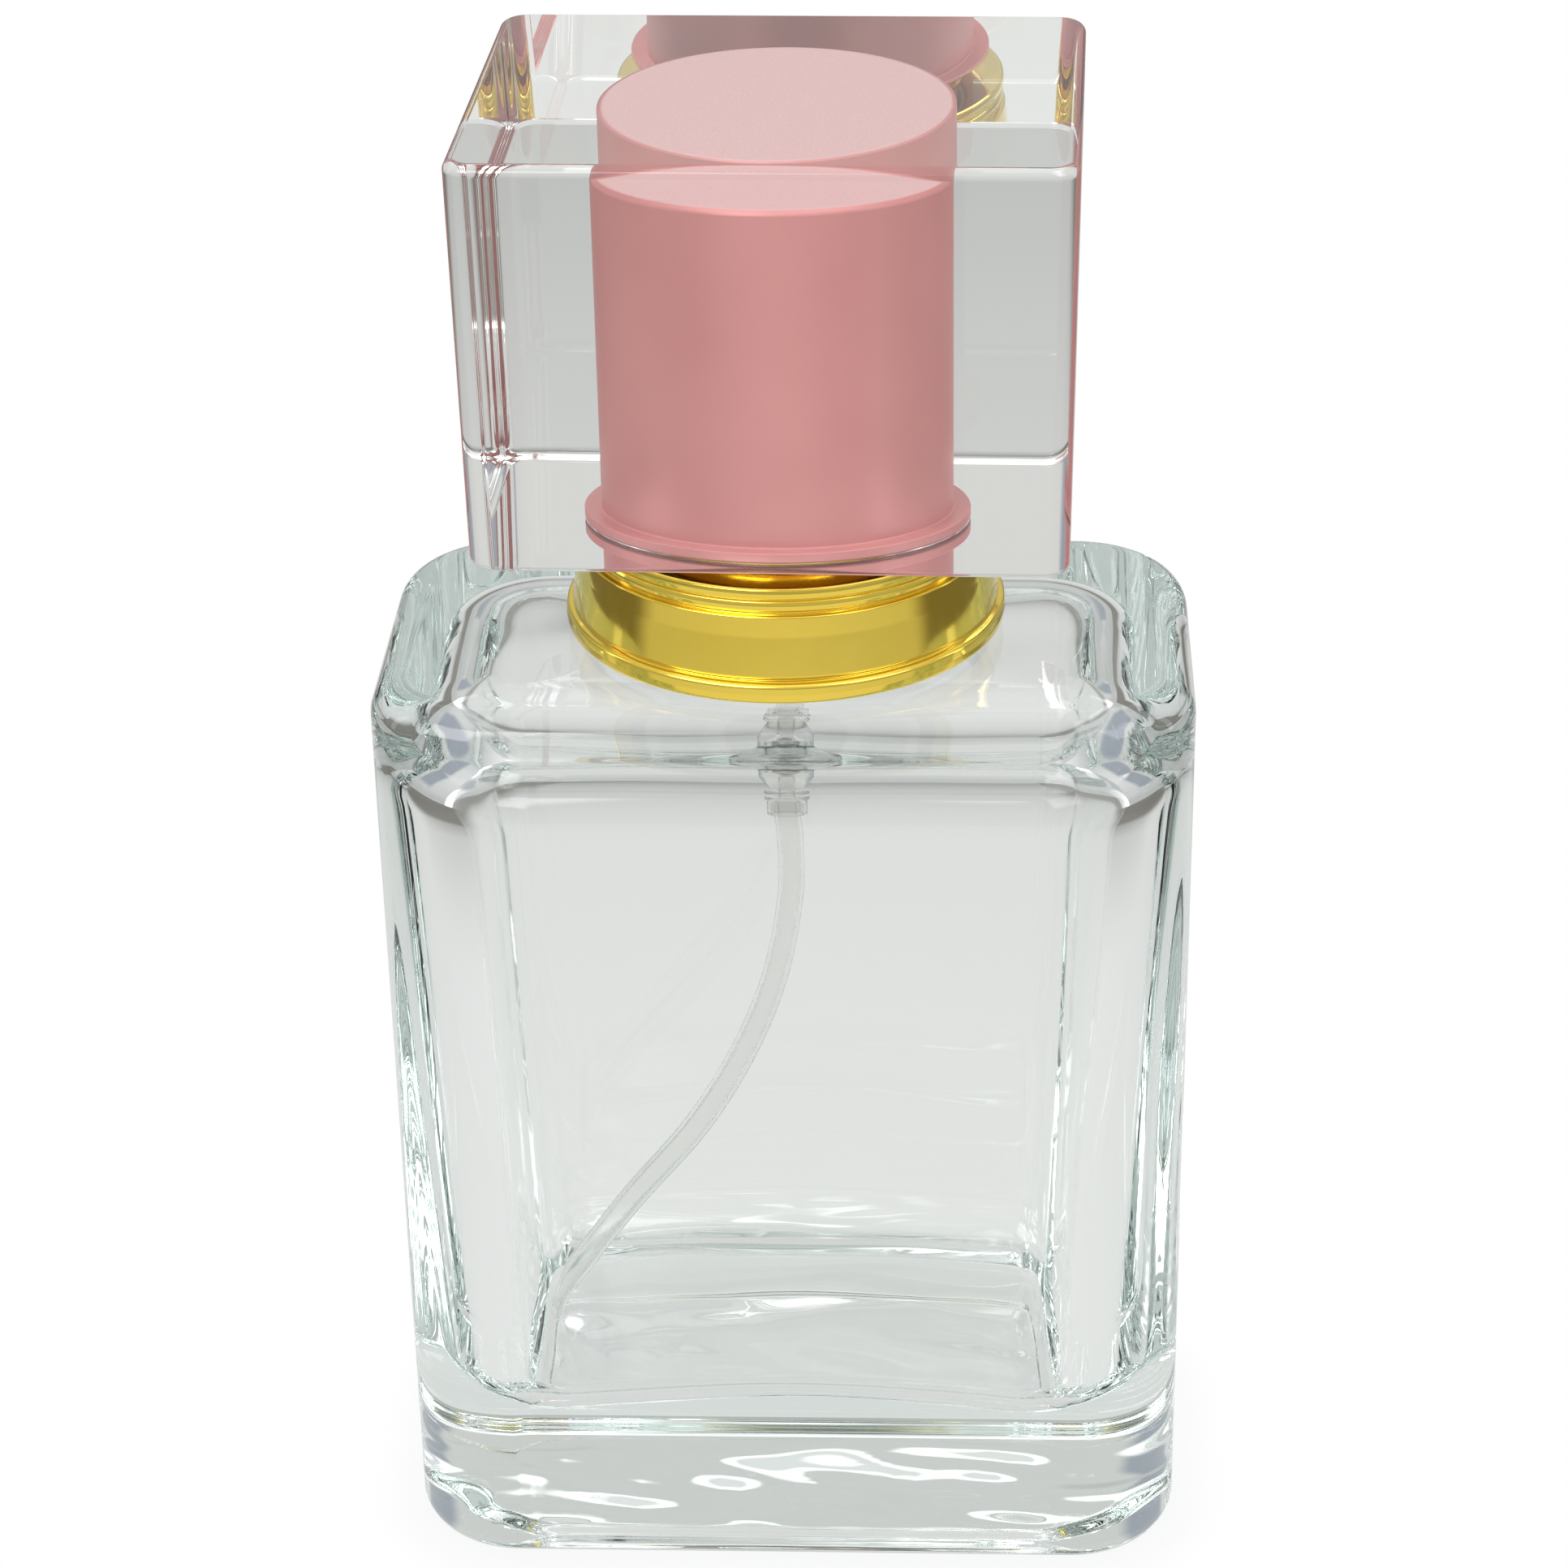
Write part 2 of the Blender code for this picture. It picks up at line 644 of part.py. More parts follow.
def make_collar(parent):
    tube_inner = COLLAR_TUBE_RADIUS - COLLAR_WALL
    band_inner = COLLAR_BAND_FOOT_RADIUS - COLLAR_WALL
    bead_inner = COLLAR_BEAD_RADIUS - COLLAR_BEAD_HEIGHT - COLLAR_WALL + 0.3 * MM
    inside = [
        (band_inner, COLLAR_BOTTOM),
        (band_inner, COLLAR_BOTTOM + COLLAR_LIP_HEIGHT),
        (COLLAR_BAND_TOP_RADIUS - COLLAR_WALL, LINER_TOP - 0.5 * MM),
        (bead_inner, LINER_TOP + 0.5 * MM),
        (bead_inner, COLLAR_LEDGE - COLLAR_WALL),
        (tube_inner, COLLAR_LEDGE - COLLAR_WALL + 0.1 * MM),
        (tube_inner, COLLAR_TOP - COLLAR_WALL),
        (COLLAR_HOLE, COLLAR_TOP - COLLAR_WALL),
    ]
    turned("collar_skirt", collar_outside() + inside, GOLD, parent)


def make_collar_liner(parent):
    """A ring of upside-down U section that centres the skirt on the ferrule."""
    low = COLLAR_BOTTOM + 0.4 * MM
    under = LINER_TOP - LINER_WALL
    profile = [
        (LINER_INNER, LINER_TOP),
        (LINER_OUTER - LINER_WALL, LINER_TOP),
        (LINER_OUTER, LINER_TOP - 2 * LINER_WALL),
        (LINER_OUTER, low),
        (LINER_OUTER - LINER_WALL, low),
        (LINER_OUTER - LINER_WALL, under - LINER_WALL),
        (LINER_INNER + LINER_WALL, under - LINER_WALL),
        (LINER_INNER + LINER_WALL, low),
        (LINER_INNER, low),
    ]
    turned("collar_liner", profile, WHITE_PLASTIC, parent)


def smooth_route(route, step):
    """Points this far apart along a smooth curve through the route's own points."""
    points = [Vector(point) for point in route]
    ends = [2 * points[0] - points[1], *points, 2 * points[-1] - points[-2]]
    smooth = []
    for before, start, end, after in zip(ends, ends[1:], ends[2:], ends[3:]):
        pieces = max(1, round((end - start).length / step))
        for piece in range(pieces):
            t = piece / pieces
            smooth.append(
                0.5
                * (
                    2 * start
                    + (end - before) * t
                    + (2 * before - 5 * start + 4 * end - after) * t**2
                    + (3 * start - before - 3 * end + after) * t**3
                )
            )
    return smooth + [points[-1]]


def make_poly_curve(name, points, radius, recipe, parent, caps=True):
    """A round wire or tube along straight runs between these points."""
    curve = bpy.data.curves.new(name, "CURVE")
    curve.dimensions = "3D"
    curve.bevel_depth = radius
    curve.bevel_resolution = 2
    curve.use_fill_caps = caps
    spline = curve.splines.new("POLY")
    spline.points.add(len(points) - 1)
    for spot, point in zip(spline.points, points):
        spot.co = (*point, 1.0)
    curve.materials.append(finish(recipe))
    return add_object(name, curve, PARTS, parent)


def make_dip_tube(parent):
    top = Vector((0.0, 0.0, NECK_TOP + TUBE_TOP))
    route = [top, *(Vector(point) for point in TUBE_ROUTE)]
    points = smooth_route(route, TUBE_POINT_STEP)
    tube = make_poly_curve("dip_tube", points, TUBE_RADIUS, CLOUDY_PLASTIC, parent, caps=False)
    bore = tube.modifiers.new("Bore", "SOLIDIFY")
    bore.thickness = TUBE_WALL
    bore.offset = -1.0


# ---- Pump, moving pieces


def helix(radius, low, high, turns):
    """The middle line of a coil spring with its wire's middle at these heights."""
    count = turns * SPRING_POINTS_PER_TURN
    points = []
    for i in range(count + 1):
        angle = math.tau * i / SPRING_POINTS_PER_TURN
        height = low + (high - low) * i / count
        points.append((radius * math.cos(angle), radius * math.sin(angle), height))
    return points


def make_main_spring(parent):
    low = BARREL_FLOOR + SEAT_GAP + MAIN_SPRING_WIRE
    high = STEM_PLUG_TOP - STEM_PLUG_HEIGHT - SEAT_GAP - MAIN_SPRING_WIRE
    points = helix(MAIN_SPRING_RADIUS, low, high, MAIN_SPRING_TURNS)
    make_poly_curve("main_spring", points, MAIN_SPRING_WIRE, SPRING_STEEL, parent)


def make_small_spring(parent):
    low = PISTON_TOP + SEAT_GAP + SMALL_SPRING_WIRE
    shoulder_bottom = STEM_SHOULDER_TOP - STEM_SHOULDER_HEIGHT
    high = shoulder_bottom - SEAT_GAP - SMALL_SPRING_WIRE
    points = helix(SMALL_SPRING_RADIUS, low, high, SMALL_SPRING_TURNS)
    make_poly_curve("small_spring", points, SMALL_SPRING_WIRE, SPRING_STEEL, parent)


def make_ball(parent):
    """The check ball, resting just over its conical seat."""
    half_seat = math.atan2(SEAT_HEIGHT, POCKET_BORE - TAIL_HOLE)
    reach = BALL_RADIUS + 0.1 * MM
    height = POCKET_SEAT + (reach - TAIL_HOLE * math.sin(half_seat)) / math.cos(half_seat)
    mesh = bpy.data.meshes.new("inlet_ball")
    shape = bmesh.new()
    bmesh.ops.create_uvsphere(shape, u_segments=SMALL_STEPS, v_segments=10, radius=BALL_RADIUS)
    shape.to_mesh(mesh)
    shape.free()
    mesh.materials.append(finish(SPRING_STEEL))
    add_object("inlet_ball", mesh, PARTS, parent, (0.0, 0.0, height))


def make_stem(parent):
    """The stem: a bored tube above, a core inside the piston, a plug and a spring spigot below."""
    shoulder_bottom = STEM_SHOULDER_TOP - STEM_SHOULDER_HEIGHT
    bore_bottom = shoulder_bottom + 0.1 * MM
    plug_bottom = STEM_PLUG_TOP - STEM_PLUG_HEIGHT
    spigot_bottom = plug_bottom - STEM_SPIGOT_HEIGHT
    profile = [
        (0.0, bore_bottom),
        (STEM_BORE, bore_bottom),
        (STEM_BORE, STEM_TOP),
        (STEM_RADIUS - 0.15 * MM, STEM_TOP),
        (STEM_RADIUS, STEM_TOP - 0.15 * MM),
        (STEM_RADIUS, STEM_SHOULDER_TOP),
        (STEM_SHOULDER_RADIUS, STEM_SHOULDER_TOP),
        (STEM_SHOULDER_RADIUS, shoulder_bottom),
        (STEM_CORE_RADIUS, shoulder_bottom),
        (STEM_CORE_RADIUS, STEM_PLUG_TOP),
        (STEM_PLUG_RADIUS, STEM_PLUG_TOP),
        (STEM_PLUG_RADIUS, plug_bottom),
        (STEM_SPIGOT_RADIUS, plug_bottom),
        (STEM_SPIGOT_RADIUS - 0.2 * MM, spigot_bottom),
        (0.0, spigot_bottom),
    ]
    stem = turned("pump_stem", profile, WHITE_PLASTIC, parent, SMALL_STEPS)
    port = rod(STEM_PORT_RADIUS, -STEM_RADIUS - 1 * MM, STEM_RADIUS + 1 * MM)
    cutter = turned_tool("port_cutter", port, parent, 8)
    face_front(cutter, STEM_SHOULDER_TOP + 2 * STEM_PORT_RADIUS)
    join(stem, cutter, "DIFFERENCE")
    shade_round(stem)


def make_piston(parent):
    profile = [
        (PISTON_BORE, PISTON_TOP),
        (PISTON_RADIUS - 0.2 * MM, PISTON_TOP),
        (PISTON_RADIUS, PISTON_TOP - 0.1 * MM),
        (PISTON_RADIUS, PISTON_TOP - PISTON_LIP),
        (PISTON_WAIST, PISTON_TOP - PISTON_LIP - 0.15 * MM),
        (PISTON_WAIST, PISTON_BOTTOM + PISTON_LIP + 0.15 * MM),
        (PISTON_RADIUS, PISTON_BOTTOM + PISTON_LIP),
        (PISTON_RADIUS, PISTON_BOTTOM),
        (PISTON_BORE, PISTON_BOTTOM),
    ]
    turned("pump_piston", profile, WHITE_PLASTIC, parent, SMALL_STEPS)


# ---- Spray button


def button_profile():
    under = BUTTON_HEIGHT - BUTTON_ROOF
    channel_top = NOZZLE_HEIGHT
    return [
        (0.0, BUTTON_HEIGHT),
        (BUTTON_RADIUS - 0.4 * MM, BUTTON_HEIGHT),
        (BUTTON_RADIUS, BUTTON_HEIGHT - 0.4 * MM),
        (BUTTON_RADIUS, 0.0),
        (BUTTON_RADIUS - BUTTON_WALL, 0.0),
        (BUTTON_RADIUS - BUTTON_WALL, under),
        (BUTTON_BOSS_RADIUS, under),
        (BUTTON_BOSS_RADIUS, BUTTON_BOSS_START),
        (BUTTON_SOCKET_RADIUS, BUTTON_BOSS_START),
        (BUTTON_SOCKET_RADIUS, BUTTON_SOCKET_TOP),
        (CHANNEL_RADIUS, BUTTON_SOCKET_TOP),
        (CHANNEL_RADIUS, channel_top),
        (0.0, channel_top),
    ]


def make_button(parent):
    """The button, with a cross boss for the nozzle and a channel from the stem to it."""
    button = turned("actuator_button", button_profile(), WHITE_PLASTIC, parent, ROUND_STEPS)
    boss = rod(NOZZLE_BOSS_RADIUS, BUTTON_BOSS_RADIUS - 0.6 * MM, BUTTON_RADIUS - 0.3 * MM)
    socket_start = BUTTON_RADIUS - NOZZLE_SOCKET_DEPTH
    socket = rod(NOZZLE_SOCKET_RADIUS, socket_start, BUTTON_RADIUS + 1 * MM)
    channel = rod(CHANNEL_RADIUS * 0.8, 0.0, socket_start + 0.5 * MM)
    steps = (
        ("nozzle_boss", boss, "UNION", SMALL_STEPS),
        ("nozzle_socket", socket, "DIFFERENCE", SMALL_STEPS),
        ("spray_channel", channel, "DIFFERENCE", 8),
    )
    for name, profile, operation, sides in steps:
        tool = turned_tool(name, profile, parent, sides)
        join(button, face_front(tool, NOZZLE_HEIGHT), operation)
    shade_round(button)


def make_sleeve(parent):
    inner = SLEEVE_RADIUS - SLEEVE_WALL
    profile = [
        (0.0, SLEEVE_TOP),
        (SLEEVE_RADIUS - SLEEVE_TOP_ROUND, SLEEVE_TOP),
        (SLEEVE_RADIUS - 0.3 * SLEEVE_TOP_ROUND, SLEEVE_TOP - 0.3 * SLEEVE_TOP_ROUND),
        (SLEEVE_RADIUS, SLEEVE_TOP - SLEEVE_TOP_ROUND),
        (SLEEVE_RADIUS, SLEEVE_SKIRT),
        (inner, SLEEVE_SKIRT),
        (inner, SLEEVE_TOP - SLEEVE_WALL),
        (0.0, SLEEVE_TOP - SLEEVE_WALL),
    ]
    sleeve = turned("actuator_sleeve", profile, GOLD, parent)
    hole = rod(SLEEVE_HOLE, BUTTON_RADIUS - 1 * MM, SLEEVE_RADIUS + 1 * MM)
    cutter = turned_tool("nozzle_window", hole, parent, SMALL_STEPS)
    join(sleeve, face_front(cutter, NOZZLE_HEIGHT), "DIFFERENCE")
    shade_round(sleeve)


def make_nozzle(parent):
    """The nozzle insert: its height runs forwards, with the dished face and orifice in front."""
    back = BUTTON_RADIUS - NOZZLE_SOCKET_DEPTH + SEAT_GAP
    front = back + NOZZLE_LENGTH
    profile = [
        (NOZZLE_ORIFICE, front - 0.3 * MM),
        (NOZZLE_DISH, front),
        (NOZZLE_RADIUS - 0.15 * MM, front),
        (NOZZLE_RADIUS, front - 0.15 * MM),
        (NOZZLE_RADIUS, back),
        (NOZZLE_SWIRL_RADIUS, back),
        (NOZZLE_SWIRL_RADIUS, front - NOZZLE_FACE - 0.3 * MM),
        (NOZZLE_ORIFICE, front - NOZZLE_FACE - 0.3 * MM),
    ]
    nozzle = turned("nozzle_insert", profile, WHITE_PLASTIC, parent, SMALL_STEPS)
    face_front(nozzle, NOZZLE_HEIGHT)


# ---- Cap


def make_cup(parent):
    inner = CUP_RADIUS - CUP_WALL
    foot_top = CUP_FOOT_BOTTOM + CUP_FOOT_THICKNESS
    profile = [
        (0.0, CUP_TOP),
        (CUP_RADIUS - CUP_TOP_ROUND, CUP_TOP),
        (CUP_RADIUS, CUP_TOP - CUP_TOP_ROUND),
        (CUP_RADIUS, foot_top),
        (CUP_FOOT_RADIUS, foot_top),
        (CUP_FOOT_RADIUS, CUP_FOOT_BOTTOM),
        (inner, CUP_FOOT_BOTTOM),
        (inner, CUP_TOP - CUP_WALL),
        (0.0, CUP_TOP - CUP_WALL),
    ]
    turned("cap_cup", profile, PINK_METAL, parent)


def make_cap_liner(parent):
    inner = CAP_LINER_RADIUS - CAP_LINER_WALL
    profile = [
        (0.0, CAP_LINER_TOP),
        (CAP_LINER_RADIUS, CAP_LINER_TOP),
        (CAP_LINER_RADIUS, CAP_LINER_BOTTOM),
        (inner, CAP_LINER_BOTTOM),
        (inner, CAP_LINER_TOP - CAP_LINER_WALL),
        (0.0, CAP_LINER_TOP - CAP_LINER_WALL),
    ]
    turned("cap_liner", profile, WHITE_PLASTIC, parent)


def make_block(parent):
    """The clear block, bored from below for the cup and its foot."""
    shape = rounded_block(
        BLOCK_WIDTH,
        BLOCK_DEPTH,
        0.0,
        BLOCK_HEIGHT,
        BLOCK_CORNER,
        BLOCK_TOP_EDGE,
        BLOCK_FOOT_EDGE,
    )
    narrow_foot(shape, BLOCK_WIDTH, BLOCK_DEPTH, 0.0, BLOCK_HEIGHT, BLOCK_NARROWING)
    block = block_object("cap_block", shape, PARTS, parent)
    block.data.materials.append(finish(ACRYLIC))
    foot_depth = CUP_FOOT_BOTTOM + CUP_FOOT_THICKNESS + CUP_FIT
    bore = [
        (0.0, CUP_TOP + CUP_FIT),
        (CUP_RADIUS + CUP_FIT, CUP_TOP + CUP_FIT),
        (CUP_RADIUS + CUP_FIT, foot_depth),
        (CUP_FOOT_RADIUS + CUP_FIT, foot_depth),
        (CUP_FOOT_RADIUS + CUP_FIT, -1 * MM),
        (0.0, -1 * MM),
    ]
    join(block, turned_tool("cup_bore", bore, parent), "DIFFERENCE")
    shade_round(block)


# ---- Assembly


def build():
    base = add_empty("bottle_datum", 0.0)
    rim = add_empty("rim_datum", NECK_TOP, base)
    press = add_empty("press_axis", 0.0, rim)
    spray = add_empty("spray_turn_axis", BUTTON_HEIGHT_OVER_RIM, press)
    cap = add_empty("cap_axis", CAP_UNDERSIDE, base, CAP_TURN)

    make_bottle(base)
    make_dip_tube(base)
    for make in (make_gasket, make_housing, make_seal, make_guide):
        make(rim)
    for make in (make_ferrule, make_collar_liner, make_collar):
        make(rim)
    for make in (make_ball, make_main_spring):
        make(rim)
    for make in (make_stem, make_small_spring, make_piston):
        make(press)
    for make in (make_button, make_sleeve, make_nozzle):
        make(spray)
    for make in (make_block, make_cup, make_cap_liner):
        make(cap)


clear_scene()
PARTS = new_collection("perfume_atomiser")
TOOLS = new_collection("forming_tools")
build()
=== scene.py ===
"""Looks of the perfume atomiser, in the CAD part's frame: metres, +Z up, the front faces -Y."""
import math

import bpy
import numpy as np
from mathutils import Matrix, Vector


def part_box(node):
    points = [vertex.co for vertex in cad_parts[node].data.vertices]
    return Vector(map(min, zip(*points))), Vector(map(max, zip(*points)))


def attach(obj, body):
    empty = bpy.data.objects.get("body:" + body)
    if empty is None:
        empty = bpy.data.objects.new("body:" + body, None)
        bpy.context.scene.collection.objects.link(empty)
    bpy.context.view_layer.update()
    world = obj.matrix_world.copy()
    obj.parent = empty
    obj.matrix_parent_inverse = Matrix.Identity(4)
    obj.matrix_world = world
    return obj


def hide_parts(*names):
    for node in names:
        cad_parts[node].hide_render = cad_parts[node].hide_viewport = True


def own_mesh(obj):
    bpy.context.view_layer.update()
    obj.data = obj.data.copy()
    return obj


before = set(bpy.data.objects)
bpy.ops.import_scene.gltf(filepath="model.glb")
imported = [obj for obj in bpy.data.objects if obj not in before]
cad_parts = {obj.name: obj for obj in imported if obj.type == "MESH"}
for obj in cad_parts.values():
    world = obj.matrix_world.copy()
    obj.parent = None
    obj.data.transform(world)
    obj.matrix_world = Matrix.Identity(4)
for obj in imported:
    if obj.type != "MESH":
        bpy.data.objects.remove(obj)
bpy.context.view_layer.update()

MM = 0.001
RIM = 62.7  # height of the glass rim over the base, mm
BUTTON = 69.1  # height of the spray button's skirt
CAP = 62.25  # height of the cap block's underside
CAP_TURN = math.radians(-1.64)
FROST_FROM, FROST_TO = 18.97, 19.04  # where the cup's satin side gives way to its frosted top, over CAP; the top's colour is also painted paler, as painted light from above
CLOUDY_IOR, CLOUDY_PITS = 1.16, 0.04  # of the cloudy plastics, low so that they stay pale

# ---------------------------------------------------------------- mesh code (millimetres)

SHORT_STEPS, LONG_STEPS, CORNER_STEPS = 32, 48, 24
RING_STEPS = 2 * SHORT_STEPS + 2 * LONG_STEPS + 4 * CORNER_STEPS
PLAIN_ROUNDING = 0.04  # of a corner for which none is given
STRAIGHT = math.radians(89.5)  # half the angle at which a corner counts as straight
EDGE_SHARE = 0.49  # the most of an edge that one corner's rounding takes


def make_mesh(name, points, faces, normals=None):
    """An object of this mesh, smooth, with these normals where they are given."""
    points = np.asarray(points, float)
    mesh = bpy.data.meshes.new(name)
    mesh.from_pydata((points * MM).tolist(), [], faces)
    mesh.validate()
    mesh.shade_smooth()
    if normals is not None:
        mesh.normals_split_custom_set_from_vertices([tuple(n) for n in normals])
    mesh.update()
    obj = bpy.data.objects.new(name, mesh)
    bpy.context.scene.collection.objects.link(obj)
    return obj


def rounded_outline(corners, closed, arc_steps=5):
    """Points and normals along (radius, height, rounding) corners. The solid lies to the right."""
    count = len(corners)
    spots = [np.array(c[:2], float) for c in corners]
    rounding = [c[2] if len(c) > 2 else PLAIN_ROUNDING for c in corners]
    points, normals = [], []
    for i in range(count):
        here = spots[i]
        first, last = i == 0 and not closed, i == count - 1 and not closed
        before, after = spots[i - 1], spots[(i + 1) % count]
        if first or last:
            run = (after - here) if first else (here - before)
            run = run / np.linalg.norm(run)
            points.append(here)
            normals.append(np.array([-run[1], run[0]]))
            continue
        back, on = before - here, after - here
        reach_back, reach_on = np.linalg.norm(back), np.linalg.norm(on)
        back, on = back / reach_back, on / reach_on
        half = math.acos(max(-1.0, min(1.0, float(back @ on)))) / 2
        if half > STRAIGHT:
            continue
        reach = min(rounding[i] / math.tan(half), EDGE_SHARE * reach_back, EDGE_SHARE * reach_on)
        radius = reach * math.tan(half)
        middle = here + (back + on) / np.linalg.norm(back + on) * radius / math.sin(half)
        start, end = here + back * reach - middle, here + on * reach - middle
        side = np.sign(start @ np.array([back[1], -back[0]]))
        turn = math.atan2(start[0] * end[1] - start[1] * end[0], start @ end)
        steps = max(2, round(arc_steps * abs(turn) / (math.pi / 2)))
        for step in range(steps + 1):
            a = turn * step / steps
            c, s = math.cos(a), math.sin(a)
            spoke = np.array([start[0] * c - start[1] * s, start[0] * s + start[1] * c])
            points.append(middle + spoke)
            normals.append(side * spoke / np.linalg.norm(spoke))
    return points, normals


def circle(radius, height, flat, lift, steps=RING_STEPS):
    """A level ring of points with normals that point out by flat and up by lift."""
    angle = np.arange(steps) * math.tau / steps
    c, s = np.cos(angle), np.sin(angle)
    return (
        np.stack([radius * c, radius * s, np.full(steps, height)], 1),
        np.stack([flat * c, flat * s, np.full(steps, lift)], 1),
    )


def block(half_x, half_y, corner, height, flat=0.0, lift=0.0):
    """A level ring round a rounded rectangle, from the middle of its +X side."""
    in_x, in_y = half_x - corner, half_y - corner
    points, normals = [], []

    def side(start, end, steps, normal):
        for t in np.arange(steps) / steps:
            points.append((start[0] + (end[0] - start[0]) * t, start[1] + (end[1] - start[1]) * t))
            normals.append(normal)

    def turn(middle, start):
        for t in np.arange(CORNER_STEPS) / CORNER_STEPS:
            a = start + math.pi / 2 * t
            normals.append((math.cos(a), math.sin(a)))
            points.append((middle[0] + corner * math.cos(a), middle[1] + corner * math.sin(a)))

    side((half_x, 0), (half_x, in_y), SHORT_STEPS // 2, (1, 0))
    turn((in_x, in_y), 0)
    side((in_x, half_y), (-in_x, half_y), LONG_STEPS, (0, 1))
    turn((-in_x, in_y), math.pi / 2)
    side((-half_x, in_y), (-half_x, -in_y), SHORT_STEPS, (-1, 0))
    turn((-in_x, -in_y), math.pi)
    side((-in_x, -half_y), (in_x, -half_y), LONG_STEPS, (0, -1))
    turn((in_x, -in_y), 1.5 * math.pi)
    side((half_x, -in_y), (half_x, 0), SHORT_STEPS // 2, (1, 0))
    points, normals = np.array(points), np.array(normals)
    level = np.full((len(points), 1), float(height))
    up = np.full((len(points), 1), float(lift))
    return np.hstack([points, level]), np.hstack([normals * flat, up])


def joined_rings(rings, wrap):
    """Faces between rings that follow each other, which hold one point or all as many."""
    starts = np.cumsum([0] + [len(r) for r in rings])
    faces = []
    pairs = list(zip(range(len(rings) - 1), range(1, len(rings))))
    if wrap:
        pairs.append((len(rings) - 1, 0))
    for i, j in pairs:
        a, b, m, n = starts[i], starts[j], len(rings[i]), len(rings[j])
        count = max(m, n)
        for k in range(count):
            q = (k + 1) % count
            if m == 1:
                faces.append((a, b + k, b + q))
            elif n == 1:
                faces.append((a + k, b, a + q))
            else:
                faces.append((a + k, b + k, b + q, a + q))
    return [tuple(int(v) for v in f) for f in faces]


def face_normals(points, faces):
    """Area-weighted normals at the points of these faces."""
    total = np.zeros_like(points)
    for face in faces:
        p = points[list(face)]
        n = np.zeros(3)
        for k in range(1, len(face) - 1):
            n += np.cross(p[k] - p[0], p[k + 1] - p[0])
        total[list(face)] += n
    return total / np.maximum(np.linalg.norm(total, axis=1, keepdims=True), 1e-12)


def lathe(name, corners, closed=True, steps=128, arc_steps=5, height=0.0):
    """A turned piece. The outline runs down its outer side and back up its inner side."""
    outline, slopes = rounded_outline(corners, closed, arc_steps)
    rings, normals = [], []
    for (radius, level), (flat, lift) in zip(outline, slopes):
        if radius < 1e-6:
            rings.append(np.array([[0.0, 0.0, level + height]]))
            normals.append(np.array([[0.0, 0.0, 1.0 if lift > 0 else -1.0]]))
        else:
            p, n = circle(radius, level + height, flat, lift, steps)
            rings.append(p)
            normals.append(n)
    return make_mesh(name, np.vstack(rings), joined_rings(rings, closed), np.vstack(normals))


def loft(name, rings, waves=None):
    """A closed skin through level rings. A ring whose normals are None takes them from its faces."""
    points = np.vstack([p for p, _, _ in rings])
    faces = joined_rings([p for p, _, _ in rings], False)
    size = RING_STEPS
    faces.append(tuple(range(size)))
    last = len(points) - size
    faces.append(tuple(range(last + size - 1, last - 1, -1)))
    share = np.concatenate([np.full(len(p), w) for p, _, w in rings])[:, None]
    plain = face_normals(points, faces)
    known = np.vstack([n if n is not None else np.full((size, 3), np.nan) for _, n, _ in rings])
    normals = np.where(np.isnan(known), plain, known)
    if waves is not None:
        height, slope = waves(points)
        slope = slope - (slope * normals).sum(1, keepdims=True) * normals
        points = points + normals * height[:, None] * share
        normals = normals - slope * share
    normals /= np.linalg.norm(normals, axis=1, keepdims=True)
    return make_mesh(name, points, faces, normals)


def smooth_route(route, step):
    """Points this far apart along a smooth curve through the route's own points."""
    spots = [np.array(p, float) for p in route]
    ends = [2 * spots[0] - spots[1], *spots, 2 * spots[-1] - spots[-2]]
    found = []
    for p0, p1, p2, p3 in zip(ends, ends[1:], ends[2:], ends[3:]):
        count = max(1, round(float(np.linalg.norm(p2 - p1)) / step))
        for t in np.arange(count) / count:
            squared = (2 * p0 - 5 * p1 + 4 * p2 - p3) * t**2
            cubed = (3 * p1 - p0 - 3 * p2 + p3) * t**3
            found.append(0.5 * (2 * p1 + (p2 - p0) * t + squared + cubed))
    return np.array(found + [spots[-1]])


def swept(route, sections, around):
    """Round rings along a route and their normals, from (index, shift, radius, flat, along) for each."""
    runs = np.gradient(route, axis=0)
    runs /= np.linalg.norm(runs, axis=1, keepdims=True)
    across = np.cross(runs[0], (0.0, 1.0, 0.0) if abs(runs[0][1]) < 0.9 else (1.0, 0.0, 0.0))
    frames = []
    for run in runs:
        across = across - (across @ run) * run
        across /= np.linalg.norm(across)
        frames.append((across, np.cross(run, across)))
    angle = -np.arange(around) * math.tau / around
    rings, normals = [], []
    for index, shift, radius, flat, along in sections:
        a, b = frames[index]
        spoke = np.cos(angle)[:, None] * a + np.sin(angle)[:, None] * b
        rings.append(route[index] + runs[index] * shift + spoke * radius)
        normals.append(spoke * flat + runs[index] * along)
    return rings, normals


# ---------------------------------------------------------------- node code


